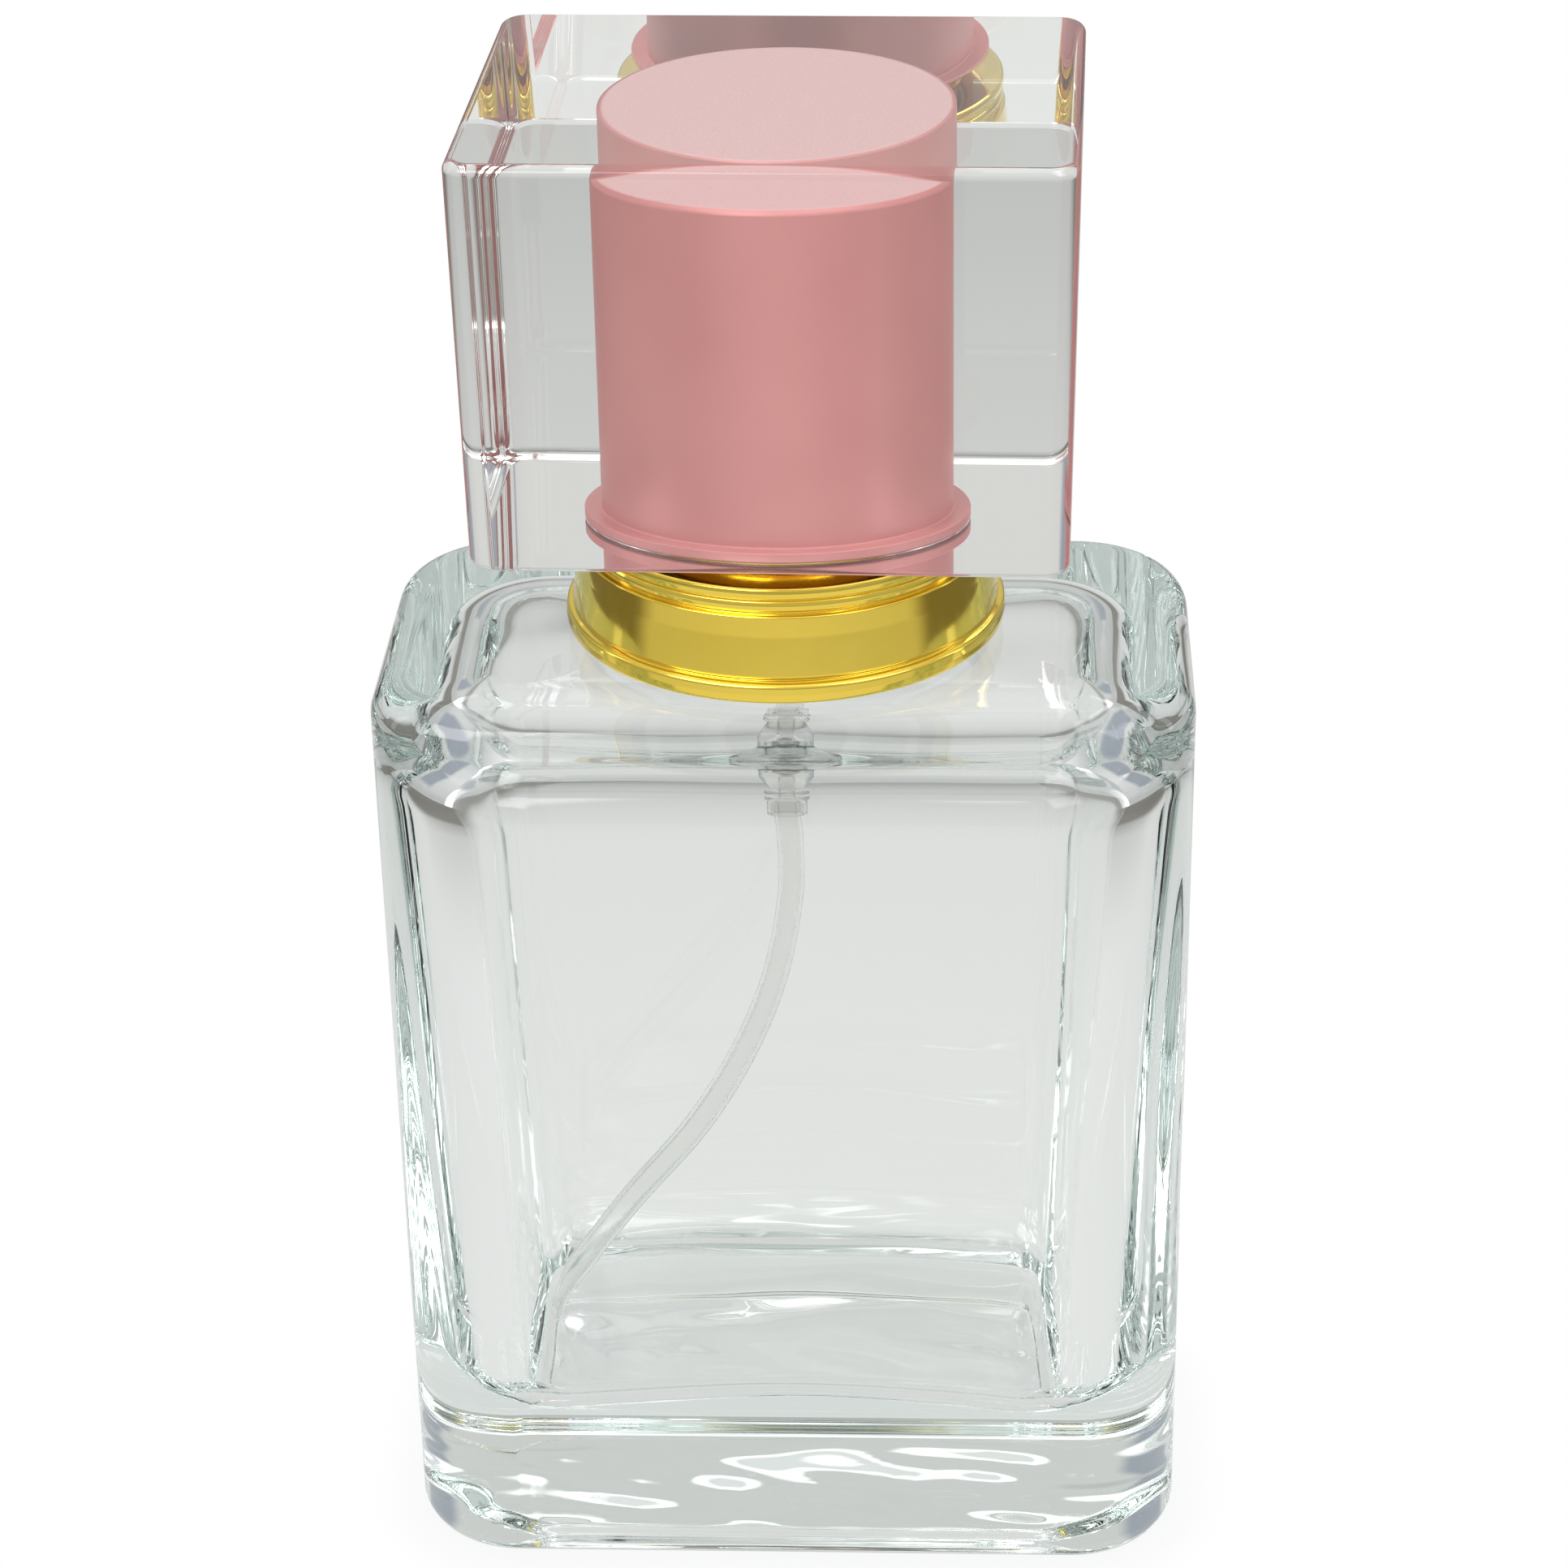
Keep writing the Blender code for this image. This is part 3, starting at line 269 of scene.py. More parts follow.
class Shader:
    """A material's node tree, with short ways to add the nodes the finishes use."""

    def __init__(self, name):
        self.material = bpy.data.materials.new(name)
        self.material.use_nodes = True
        self.tree = self.material.node_tree
        self.surface = self.tree.nodes["Principled BSDF"]
        self.output = self.tree.nodes["Material Output"]
        self.place = self.add("ShaderNodeTexCoord").outputs["Object"]

    def add(self, kind, **settings):
        """A new node of this kind."""
        node = self.tree.nodes.new(kind)
        for key, value in settings.items():
            setattr(node, key, value)
        return node

    def feed(self, socket, value):
        """Links a node's output to a socket, or sets the socket to a number."""
        if isinstance(value, bpy.types.NodeSocket):
            self.tree.links.new(value, socket)
        else:
            socket.default_value = value

    def set(self, **values):
        """Feeds the surface shader's sockets by name."""
        for key, value in values.items():
            self.feed(self.surface.inputs[key.replace("_", " ")], value)

    def stretched(self, x, y, z):
        """Places scaled along each axis, for noise that is drawn out."""
        node = self.add("ShaderNodeMapping")
        self.feed(node.inputs["Vector"], self.place)
        node.inputs["Scale"].default_value = (x, y, z)
        return node.outputs[0]

    def noise(self, size_mm, detail=2.0, rough=0.5, place=None):
        """Noise whose spots are about this wide."""
        node = self.add("ShaderNodeTexNoise")
        self.feed(node.inputs["Vector"], self.place if place is None else place)
        node.inputs["Scale"].default_value = 1.0 / (size_mm * MM)
        node.inputs["Detail"].default_value = detail
        node.inputs["Roughness"].default_value = rough
        return node.outputs[0]

    def spread(self, value, low, high, to_low, to_high, kind="SMOOTHSTEP"):
        """A value spread from one range to another."""
        node = self.add("ShaderNodeMapRange", interpolation_type=kind)
        for socket, number in zip(node.inputs, (value, low, high, to_low, to_high)):
            self.feed(socket, number)
        return node.outputs[0]

    def math(self, operation, a, b=0.0):
        """One math operation on one or two values."""
        node = self.add("ShaderNodeMath", operation=operation)
        for socket, number in zip(node.inputs, (a, b)):
            self.feed(socket, number)
        return node.outputs[0]

    def blend(self, share, a, b):
        """Colour a, giving way to b as share goes from 0 to 1."""
        node = self.add("ShaderNodeMix", data_type="RGBA")
        colours = [s for s in node.inputs if s.type == "RGBA"]
        self.feed(node.inputs[0], share)
        self.feed(colours[0], (*a, 1.0) if isinstance(a, tuple) else a)
        self.feed(colours[1], (*b, 1.0) if isinstance(b, tuple) else b)
        return next(s for s in node.outputs if s.type == "RGBA")

    def parts(self):
        """The x, y and z of the place that is shaded."""
        node = self.add("ShaderNodeSeparateXYZ")
        self.feed(node.inputs[0], self.place)
        return node.outputs

    def bump(self, height, depth_mm, strength=1.0, under=None):
        """Normals bent by a height."""
        node = self.add("ShaderNodeBump")
        self.feed(node.inputs["Strength"], strength)
        node.inputs["Distance"].default_value = depth_mm * MM
        self.feed(node.inputs["Height"], height)
        if under is not None:
            self.feed(node.inputs["Normal"], under)
        return node.outputs[0]

    def absorb(self, colour, density):
        """Tints what passes through the piece."""
        node = self.add("ShaderNodeVolumeAbsorption")
        node.inputs["Color"].default_value = (*colour, 1.0)
        node.inputs["Density"].default_value = density
        self.tree.links.new(node.outputs[0], self.output.inputs["Volume"])


def glass_finish():
    """Clear moulded glass with a faint grey-green tint."""
    s = Shader("glass_moulded")
    s.set(
        Base_Color=s.blend(s.noise(9.0), (0.985, 0.992, 0.988), (0.995, 1.0, 0.998)),
        Roughness=s.spread(s.noise(4.0, 3.0), 0.35, 0.75, 0.0, 0.012),
        IOR=1.51,
        Transmission_Weight=1.0,
        Normal=s.bump(s.noise(9.0, 1.0), 0.03, 0.3),
    )
    s.absorb((0.65, 0.755, 0.73), 18.0)
    return s.material


def acrylic_finish():
    """Clear polished acrylic."""
    s = Shader("acrylic_polished")
    s.set(
        Base_Color=s.blend(s.noise(12.0), (0.985, 0.99, 0.988), (0.997, 0.998, 1.0)),
        Roughness=s.spread(s.noise(5.0, 3.0), 0.4, 0.8, 0.0, 0.008),
        IOR=1.49,
        Transmission_Weight=1.0,
        Normal=s.bump(s.noise(11.0, 1.0), 0.02, 0.25),
    )
    s.absorb((0.88, 0.93, 0.88), 8.0)
    return s.material


def gold_finish(name, rough):
    """Bright gold anodised aluminium with a faint upright grain."""
    s = Shader(name)
    grain = s.noise(0.35, 4.0, 0.6, s.stretched(1.0, 1.0, 0.12))
    s.set(
        Base_Color=s.blend(s.noise(3.0, 3.0), (0.87, 0.63, 0.085), (0.92, 0.69, 0.12)),
        Metallic=1.0,
        Roughness=s.spread(grain, 0.3, 0.75, rough, rough + 0.06),
        Normal=s.bump(grain, 0.002, 0.25, s.bump(s.noise(2.6, 2.0), 0.012, 0.35)),
    )
    return s.material


def pink_finish():
    """Satin anodised pink, with a frosted, finely pitted top. The top's colour is painted paler too: painted
    light from the bright ceiling above.
    """
    s = Shader("pink_satin")
    _, _, z = s.parts()
    top = s.spread(z, (CAP + FROST_FROM) * MM, (CAP + FROST_TO) * MM, 0.0, 1.0, "LINEAR")
    soft = s.noise(9.0, 2.0, 0.5)
    grain = s.noise(0.16, 3.0, 0.7)
    side = s.blend(s.spread(soft, 0.3, 0.7, 0.0, 1.0), (0.52, 0.215, 0.21), (0.55, 0.235, 0.23))
    # painted light: the frosted top's colour is paler than the side's, for the bright ceiling it faces; its
    # grain is real pitting
    frost_and_top_light = s.blend(s.spread(grain, 0.3, 0.7, 0.0, 1.0), (0.54, 0.345, 0.34), (0.60, 0.395, 0.39))
    s.set(
        Base_Color=s.blend(top, side, frost_and_top_light),
        Metallic=0.3,
        Roughness=s.spread(top, 0.0, 1.0, s.spread(soft, 0.3, 0.7, 0.38, 0.42), 0.6, "LINEAR"),
        Normal=s.bump(grain, 0.012, s.spread(top, 0.0, 1.0, 0.08, 0.5, "LINEAR")),
    )
    return s.material


def plastic_finish(name, low, high, rough, clear=0.0, milky=0.0, ior=1.49, pits=0.3):
    """Moulded plastic between two colours, clear or milky as asked."""
    s = Shader(name)
    grain = s.noise(0.25, 3.0, 0.6)
    s.set(
        Base_Color=s.blend(s.noise(2.2, 3.0), low, high),
        Roughness=s.spread(grain, 0.3, 0.7, rough - 0.05, rough + 0.06),
        IOR=ior,
        Transmission_Weight=clear,
        Subsurface_Weight=milky,
        Normal=s.bump(grain, 0.004, pits),
    )
    s.surface.inputs["Subsurface Radius"].default_value = (1.0, 0.9, 0.8)
    s.surface.inputs["Subsurface Scale"].default_value = 0.6 * MM
    return s.material


def metal_finish(name, low, high, rough, stretch=(1.0, 1.0, 1.0)):
    """Plain metal between two colours."""
    s = Shader(name)
    grain = s.noise(0.3, 4.0, 0.65, s.stretched(*stretch))
    s.set(
        Base_Color=s.blend(s.noise(1.8, 3.0), low, high),
        Metallic=1.0,
        Roughness=s.spread(grain, 0.3, 0.75, rough, rough + 0.12),
        Normal=s.bump(grain, 0.003, 0.3),
    )
    return s.material


def place(obj, material, body, slot, *nodes):
    """Gives a new piece its finish and its body, and hides the CAD nodes it stands for. The slot is not
    used.
    """
    obj.data.materials.clear()
    obj.data.materials.append(material)
    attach(obj, body)
    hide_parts(*nodes)
    return obj


def lets_light_in(obj):
    """Clear pieces pass lamp light and soft light straight to what they hold."""
    obj.visible_shadow = False
    obj.visible_diffuse = False
    return obj


GLASS = glass_finish()
ACRYLIC = acrylic_finish()
GOLD = gold_finish("gold_bright", 0.07)
GOLD_SLEEVE = gold_finish("gold_sleeve", 0.12)
PINK = pink_finish()
WHITE = plastic_finish("plastic_white", (0.82, 0.83, 0.81), (0.88, 0.88, 0.86), 0.38, 0.0, 0.25)
CLOUDY = plastic_finish(
    "plastic_cloudy", (0.96, 0.965, 0.95), (0.985, 0.99, 0.975), 0.2, 0.94, ior=CLOUDY_IOR, pits=CLOUDY_PITS
)
TUBE = plastic_finish(
    "plastic_tube", (0.975, 0.977, 0.965), (0.99, 0.992, 0.98), 0.2, 0.95, ior=CLOUDY_IOR, pits=CLOUDY_PITS
)
SEAL = plastic_finish("seal_soft", (0.62, 0.63, 0.63), (0.7, 0.71, 0.71), 0.6)
ALUMINIUM = metal_finish("aluminium_plain", (0.74, 0.74, 0.75), (0.82, 0.82, 0.83), 0.24, (1.0, 1.0, 0.1))
STEEL = metal_finish("steel_wire", (0.52, 0.52, 0.54), (0.64, 0.64, 0.66), 0.2)

# ---------------------------------------------------------------- glass bottle

HALF_X, HALF_Y = 22.0, 12.5
SHOULDER = 54.2
SHOULDER_FALL = 0.2
CORNER, SHOULDER_EDGE, BASE_EDGE = 6.2, 2.2, 1.75
IN_X, IN_Y = HALF_X - 2.9, HALF_Y - 2.3
IN_TOP, IN_FLOOR = 51.2, 7.5
IN_CORNER, IN_TOP_EDGE, IN_FLOOR_EDGE = 5.6, 4.5, 3.2
FLOOR_RISE, RISE_TOP = 1.8, 20.0
THICKER_X, THICKER_Y = 1.2, 0.6
NECK_FOOT = 8.4
BORE, BORE_ROUND = 4.5, 1.0
BORE_FOOT = IN_TOP + 0.5
BEAD, WAIST = 7.4, 6.6
DRAFT = 0.15
STAND_INSET, RECESS_INSET, RECESS_SLOPE = 3.4, 4.3, 0.9
RECESS_CORNER, RECESS_DEPTH = 3.7, 0.5
FLOOR_WAVY, WALL_WAVY, RECESS_WAVY = 2.2, 1.0, 1.8  # how strongly the glass waves show there
FINE_WAVES_TOP, FINE_WAVES_FADE = 9.5, 2.0


def draft(z):
    """How far the mould's taper brings the wall in at this height."""
    return DRAFT * (1 - z / SHOULDER)


def eased(t):
    """A step from 0 to 1 that starts and ends level."""
    return t * t * (3 - 2 * t)


def inner_ring(z, inset=0.0, share=1.0):
    """A ring of the cavity at this height, drawn in by inset, with the floor's arch under it."""
    low = max(0.0, (IN_TOP - z) / (IN_TOP - IN_FLOOR))
    half_x = IN_X - draft(z) - THICKER_X * low - inset
    half_y = IN_Y - draft(z) - THICKER_Y * low - inset
    points, normals = block(half_x * share, half_y * share, (IN_CORNER - inset) * share, z)
    fade = eased(min(1.0, max(0.0, (RISE_TOP - z) / (RISE_TOP - IN_FLOOR))))
    points[:, 2] += FLOOR_RISE * fade * (1 - (points[:, 0] / IN_X) ** 2)
    return points, normals


def glass_waves(points):
    """The slight unevenness of moulded glass, finer in the base: height and slope at each point."""
    rng = np.random.default_rng(11)
    height, slope = np.zeros(len(points)), np.zeros_like(points)
    in_base = np.clip((FINE_WAVES_TOP - points[:, 2]) / FINE_WAVES_FADE, 0.0, 1.0)
    # number of waves, shortest and longest, smallest and largest height, and where they are
    for count, short, long, small, large, where in (
        (14, 7.0, 22.0, 0.01, 0.025, np.ones(len(points))),
        (16, 2.8, 7.0, 0.003, 0.008, in_base),
    ):
        for _ in range(count):
            k = rng.normal(size=3) * (0.45, 1.0, 0.18)
            k *= math.tau / rng.uniform(short, long) / np.linalg.norm(k)
            size, phase = rng.uniform(small, large), rng.uniform(0, math.tau)
            angle = points @ k + phase
            height += size * where * np.sin(angle)
            slope += (size * where * np.cos(angle))[:, None] * k
    return height, slope


def bottle_rings():
    """The glass as rings, from the cavity's floor up, over the rim and down to the base."""
    rings = []

    def add(ring, wavy=0.0, known=True):
        rings.append((ring[0], ring[1] if known else None, wavy))

    # cavity: arched floor, floor edge, walls that thicken towards the foot, shoulder edge, ceiling
    for t in np.linspace(0.05, 0.95, 19):
        add(inner_ring(IN_FLOOR, IN_FLOOR_EDGE, t), FLOOR_WAVY * t, False)
    for a in np.radians(np.linspace(0, 90, 15)):
        level = IN_FLOOR + IN_FLOOR_EDGE * (1 - math.cos(a))
        wavy = FLOOR_WAVY - 0.012 * math.degrees(a)
        add(inner_ring(level, IN_FLOOR_EDGE * (1 - math.sin(a))), wavy, False)
    for z in np.linspace(IN_FLOOR + IN_FLOOR_EDGE, IN_TOP - IN_TOP_EDGE, 50)[1:-1]:
        add(inner_ring(z), WALL_WAVY, False)
    for a in np.radians(np.linspace(0, 90, 15)):
        level = IN_TOP - IN_TOP_EDGE * (1 - math.sin(a))
        add(inner_ring(level, IN_TOP_EDGE * (1 - math.cos(a))), WALL_WAVY, False)
    wide = inner_ring(IN_TOP, IN_TOP_EDGE)[0]
    narrow = circle(BORE + BORE_ROUND, BORE_FOOT, 0, -1)[0]
    for t in np.linspace(0, 1, 12)[1:]:
        ring = wide + (narrow - wide) * t
        ring[:, 2] = IN_TOP + (BORE_FOOT - IN_TOP) * eased(t)
        add((ring, None), WALL_WAVY - 0.6 * t, False)
    # bore, rim, bead, waist and flare of the neck
    neck = [
        (BORE + BORE_ROUND, BORE_FOOT),
        (BORE, BORE_FOOT, BORE_ROUND),
        (BORE, RIM, 0.4),
        (BEAD, RIM, 0.45),
        (BEAD, RIM - 3.5, 0.55),
        (WAIST, RIM - 4.0, 0.5),
        (WAIST, SHOULDER, 1.3),
        (NECK_FOOT, SHOULDER),
    ]
    outline, slopes = rounded_outline(neck, False, 7)
    for (radius, level), (flat, lift) in list(zip(outline, slopes))[1:-1]:
        add(circle(radius, level, flat, lift))
    # shoulder, outer wall, base edge, standing ring and recess
    narrow = circle(NECK_FOOT, SHOULDER, 0, 1)[0]
    wide = block(HALF_X - SHOULDER_EDGE, HALF_Y - SHOULDER_EDGE, CORNER - SHOULDER_EDGE, SHOULDER)[0]
    for t in np.linspace(0, 1, 18):
        ring = narrow + (wide - narrow) * t
        ring[:, 2] = SHOULDER - SHOULDER_FALL * eased(t)
        add((ring, None), 0.0, False)
    top = SHOULDER - SHOULDER_FALL
    for a in np.radians(np.linspace(6, 84, 14)):
        inset = SHOULDER_EDGE * (1 - math.sin(a))
        level = top - SHOULDER_EDGE * (1 - math.cos(a))
        add(block(HALF_X - inset, HALF_Y - inset, CORNER - inset, level, math.sin(a), math.cos(a)))
    for z in np.linspace(top - SHOULDER_EDGE, BASE_EDGE, 24):
        add(block(HALF_X - draft(z), HALF_Y - draft(z), CORNER, z, 1.0, 0.0))
    for a in np.radians(np.linspace(8, 82, 12)):
        inset = BASE_EDGE * (1 - math.cos(a)) + draft(0)
        level = BASE_EDGE * (1 - math.sin(a))
        add(block(HALF_X - inset, HALF_Y - inset, CORNER - inset, level, math.cos(a), -math.sin(a)))
    foot = BASE_EDGE + draft(0)
    for inset in (foot, STAND_INSET, RECESS_INSET):
        add(block(HALF_X - inset, HALF_Y - inset, CORNER - foot, 0.0, 0, -1))
    for t in np.linspace(0.15, 1, 8):
        inset = RECESS_INSET + RECESS_SLOPE * t
        level = RECESS_DEPTH * eased(t)
        add(block(HALF_X - inset, HALF_Y - inset, RECESS_CORNER, level, 0, -1), 1.2 * t, False)
    half_x, half_y = (half - RECESS_INSET - RECESS_SLOPE for half in (HALF_X, HALF_Y))
    for t in np.linspace(0.97, 0.06, 14):
        add(block(half_x * t, half_y * t, RECESS_CORNER * t, RECESS_DEPTH, 0, -1), RECESS_WAVY, False)
    return rings


bottle = loft("bottle_glass", bottle_rings(), glass_waves)
lets_light_in(place(bottle, GLASS, "bottle", "clear_glass", "glass_bottle"))

# ---------------------------------------------------------------- pump, fixed pieces

gasket = lathe(
    "gasket_ring",
    [(4.5, 0.8, 0.15), (7.1, 0.8, 0.15), (7.1, 0.15, 0.15), (4.5, 0.15, 0.15)],
    height=RIM,
)
place(gasket, SEAL, "bottle", "soft_seal", "neck_gasket")


def tail_ring(low):
    """The outline of a bead round the outside of the housing's tail."""
    return [(0.95, low + 0.57, 0.1), (1.24, low + 0.45, 0.12), (1.24, low, 0.12), (0.95, low - 0.12, 0.1)]


housing = lathe(
    "pump_body",
    [
        (3.45, 1.6, 0.1), (7.1, 1.6, 0.15), (7.1, 0.95, 0.15), (4.1, 0.95, 0.1), (4.1, -2.1, 0.3),
        (3.0, -2.7, 0.3), (3.0, -11.1, 0.3), (1.5, -12.1, 0.3), (1.5, -13.2, 0.25),
        *tail_ring(-15.6), *tail_ring(-16.35),
        (1.12, -16.6, 0.06), (1.12, -18.3, 0.12), (0.85, -18.3, 0.06), (0.85, -16.5, 0.05),
        (0.4, -16.2, 0.05), (0.4, -13.2, 0.05), (1.05, -12.6, 0.05), (1.05, -10.9, 0.1),
        (1.35, -10.6, 0.1), (2.3, -10.6, 0.1), (2.3, -1.1, 0.1), (3.45, -1.1, 0.1),
    ],
    steps=96, height=RIM,
)
place(housing, CLOUDY, "bottle", "cloudy_plastic", "pump_housing")

seal = lathe(
    "seal_ring",
    [(1.65, -0.55, 0.08), (3.3, -0.55, 0.08), (3.3, -0.95, 0.08), (1.65, -0.95, 0.08)],
    height=RIM,
)
place(seal, SEAL, "bottle", "soft_seal", "stem_seal")

guide = lathe(
    "guide_turret",
    [
        (1.65, 3.3, 0.15), (2.6, 3.3, 0.35), (2.6, 1.4, 0.1), (3.3, 1.4, 0.2), (3.3, -0.4, 0.1),
        (1.65, -0.4, 0.1),
    ],
    height=RIM,
)
place(guide, WHITE, "bottle", "white_plastic", "stem_guide")

ferrule = lathe(
    "ferrule_crimped",
    [
        (2.9, 2.05, 0.08), (7.9, 2.05, 0.55), (7.9, -3.5, 0.6), (7.3, -4.3, 0.25), (6.95, -4.4, 0.1),
        (6.9, -4.1, 0.1), (7.15, -3.9, 0.2), (7.6, -3.3, 0.4), (7.6, 1.75, 0.3), (2.9, 1.75, 0.08),
    ],
    height=RIM,
)
place(ferrule, ALUMINIUM, "bottle", "bare_aluminium", "crimp_ferrule")

liner = lathe(
    "collar_inner_ring",
    [
        (8.1, -3.2, 0.15), (10.1, -3.2, 0.2), (10.6, -4.2, 0.3), (10.6, -7.55, 0.12), (10.1, -7.55, 0.12),
        (10.1, -4.2, 0.2), (8.6, -4.2, 0.2), (8.6, -7.55, 0.12), (8.1, -7.55, 0.12),
    ],
    height=RIM,
)
place(liner, WHITE, "bottle", "white_plastic", "collar_liner")

collar = lathe(
    "collar_gold",
    [
        # tube, ledge, two beads, flared skirt and rolled foot, down the outside
        (6.9, 2.7, 0.1), (8.4, 2.7, 0.35), (8.4, -1.5, 0.3), (8.75, -1.75, 0.25), (10.95, -1.75, 0.28),
        (11.02, -2.05, 0.2), (10.95, -2.36, 0.14), (10.72, -2.42, 0.05), (10.9, -2.52, 0.14),
        (10.98, -2.75, 0.2), (10.9, -3.02, 0.14), (10.78, -3.12, 0.05), (10.78, -3.24, 0.05),
        (11.08, -3.3, 0.1), (11.2, -4.4, 6.0), (11.5, -6.58, 0.3), (11.36, -6.72, 0.05),
        (11.5, -6.81, 0.05), (11.83, -6.9, 0.26), (11.88, -7.4, 0.28), (11.83, -7.95, 0.33),
        # back up the inside
        (11.15, -7.95, 0.1), (11.15, -6.9, 0.2), (10.75, -3.7, 0.2), (10.3, -2.7, 0.2),
        (10.3, -2.1, 0.2), (8.05, -2.0, 0.1), (8.05, 2.35, 0.1), (6.9, 2.35, 0.1),
    ],
    steps=192, arc_steps=8, height=RIM,
)
place(collar, GOLD, "bottle", "gold_aluminium", "collar_skirt")

TUBE_ROUTE = [
    (0, 0, 46.05), (0, 0, 44.2), (0.12, 0, 41.0), (0.05, 0.05, 37.4), (-0.95, 0.1, 32.3),
    (-2.95, 0.2, 27.0), (-5.7, 0.3, 22.0), (-9.6, 0.4, 17.0), (-14.0, 0.5, 11.0), (-15.6, 0.5, 8.9),
]
TUBE_RADIUS, TUBE_BORE, TUBE_EDGE = 0.74, 0.48, 0.04


def dip_tube():
    """The curved tube, open at both ends."""
    route = smooth_route(TUBE_ROUTE, 0.6)
    outer, inner, edge, last = TUBE_RADIUS, TUBE_BORE, TUBE_EDGE, len(route) - 1
    down = [(i, 0.0, outer, 1.0, 0.0) for i in range(1, last)]
    up = [(i, 0.0, inner, -1.0, 0.0) for i in range(last - 1, 0, -1)]
    bottom = [
        (last, -edge, outer, 1.0, 0.0), (last, 0.0, outer - edge, 0.0, 1.0),
        (last, 0.0, inner + edge, 0.0, 1.0), (last, -edge, inner, -1.0, 0.0),
    ]
    top = [
        (0, edge, inner, -1.0, 0.0), (0, 0.0, inner + edge, 0.0, -1.0),
        (0, 0.0, outer - edge, 0.0, -1.0), (0, edge, outer, 1.0, 0.0),
    ]
    rings, normals = swept(route, down + bottom + up + top, 40)
    return make_mesh("dip_tube_clear", np.vstack(rings), joined_rings(rings, True), np.vstack(normals))


place(dip_tube(), TUBE, "bottle", "cloudy_plastic", "dip_tube")

TURN_STEPS, WIRE_STEPS = 36, 12
WIRE_TIP, WIRE_EDGE = 0.02, 0.03


def coil(name, radius, wire, low, high, turns):
    """A closed wire coil with its ends cut flat."""
    count = turns * TURN_STEPS
    t = np.arange(count + 1) / TURN_STEPS * math.tau
    route = np.stack([radius * np.cos(t), radius * np.sin(t), RIM + low + (high - low) * t / t[-1]], 1)
    body = [(i, 0.0, wire, 1.0, 0.0) for i in range(1, count)]
    start = [
        (0, 0.0, WIRE_TIP, 0.0, -1.0), (0, 0.0, wire - WIRE_EDGE, 0.0, -1.0), (0, WIRE_EDGE, wire, 1.0, 0.0),
    ]
    end = [
        (count, -WIRE_EDGE, wire, 1.0, 0.0), (count, 0.0, wire - WIRE_EDGE, 0.0, 1.0),
        (count, 0.0, WIRE_TIP, 0.0, 1.0),
    ]
    rings, normals = swept(route, start + body + end, WIRE_STEPS)
    faces = joined_rings(rings, False)
    total = sum(len(r) for r in rings)
    faces += [tuple(range(WIRE_STEPS)), tuple(range(total - 1, total - WIRE_STEPS - 1, -1))]
    return make_mesh(name, np.vstack(rings), faces, np.vstack(normals))


main_spring = coil("spring_main", 1.75, 0.2, -10.25, -6.15, 6)
place(main_spring, STEEL, "bottle", "spring_steel", "main_spring")
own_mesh(main_spring)

# ---------------------------------------------------------------- pump, moving pieces

BALL_RADIUS = 0.75
ball_arc = [
    (BALL_RADIUS * math.sin(a), BALL_RADIUS * math.cos(a), 0.2)
    for a in np.radians(np.arange(7.5, 180, 7.5))
]
ball = lathe("ball_steel", [(0.0, BALL_RADIUS), *ball_arc, (0.0, -BALL_RADIUS)], False, 48)
ball_low, ball_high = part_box("inlet_ball")
ball.location.z = (ball_low.z + ball_high.z) / 2
place(ball, STEEL, "ball", "spring_steel", "inlet_ball")

stem = lathe(
    "stem_white",
    [
        (0.0, -1.75), (0.6, -1.75, 0.05), (0.6, 9.8, 0.08), (1.45, 9.8, 0.2), (1.45, -1.4, 0.05),
        (2.05, -1.4, 0.1), (2.05, -1.85, 0.1), (1.1, -1.85, 0.05), (1.1, -5.2, 0.05), (1.95, -5.2, 0.1),
        (1.95, -5.8, 0.1), (1.3, -5.8, 0.05), (1.1, -6.6, 0.1), (0.0, -6.6),
    ],
    False, 64, height=RIM,
)
place(stem, WHITE, "stem", "white_plastic", "pump_stem")
small_spring = coil("spring_small", 1.6, 0.12, -3.03, -2.12, 3)
place(small_spring, STEEL, "stem", "spring_steel", "small_spring")
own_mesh(small_spring)

piston = lathe(
    "piston_white",
    [
        (1.25, -3.3, 0.08), (2.0, -3.3, 0.1), (2.17, -3.4, 0.08), (2.17, -3.75, 0.08), (1.9, -3.9, 0.1),
        (1.9, -4.3, 0.1), (2.17, -4.45, 0.08), (2.17, -4.9, 0.08), (1.25, -4.9, 0.08),
    ],
    steps=64, height=RIM,
)
place(piston, WHITE, "piston", "white_plastic", "pump_piston")

# ---------------------------------------------------------------- spray button

NOZZLE_HEIGHT = 4.1  # the nozzle's axis over the button's skirt
CREASE = math.radians(32)


def cut(obj, tool, operation):
    """Joins a tool to a piece or cuts it out of it."""
    step = obj.modifiers.new(tool.name, "BOOLEAN")
    step.object, step.operation, step.solver = tool, operation, "EXACT"
    graph = bpy.context.evaluated_depsgraph_get()
    made = bpy.data.meshes.new_from_object(obj.evaluated_get(graph))
    obj.modifiers.clear()
    obj.data = made
    bpy.data.objects.remove(tool, do_unlink=True)


def facing_front(name, corners, steps=64, closed=False):
    """A turned piece laid along -Y at the nozzle's height, its outline's heights being its reach."""
    obj = lathe(name, corners, closed, steps)
    lifted = Matrix.Translation((0, 0, (BUTTON + NOZZLE_HEIGHT) * MM))
    obj.data.transform(lifted @ Matrix.Rotation(math.pi / 2, 4, "X"))
    return obj


def rod(radius, low, high):
    """The outline of a plain rod from low to high."""
    return [(0.0, high), (radius, high, 0.02), (radius, low, 0.02), (0.0, low)]


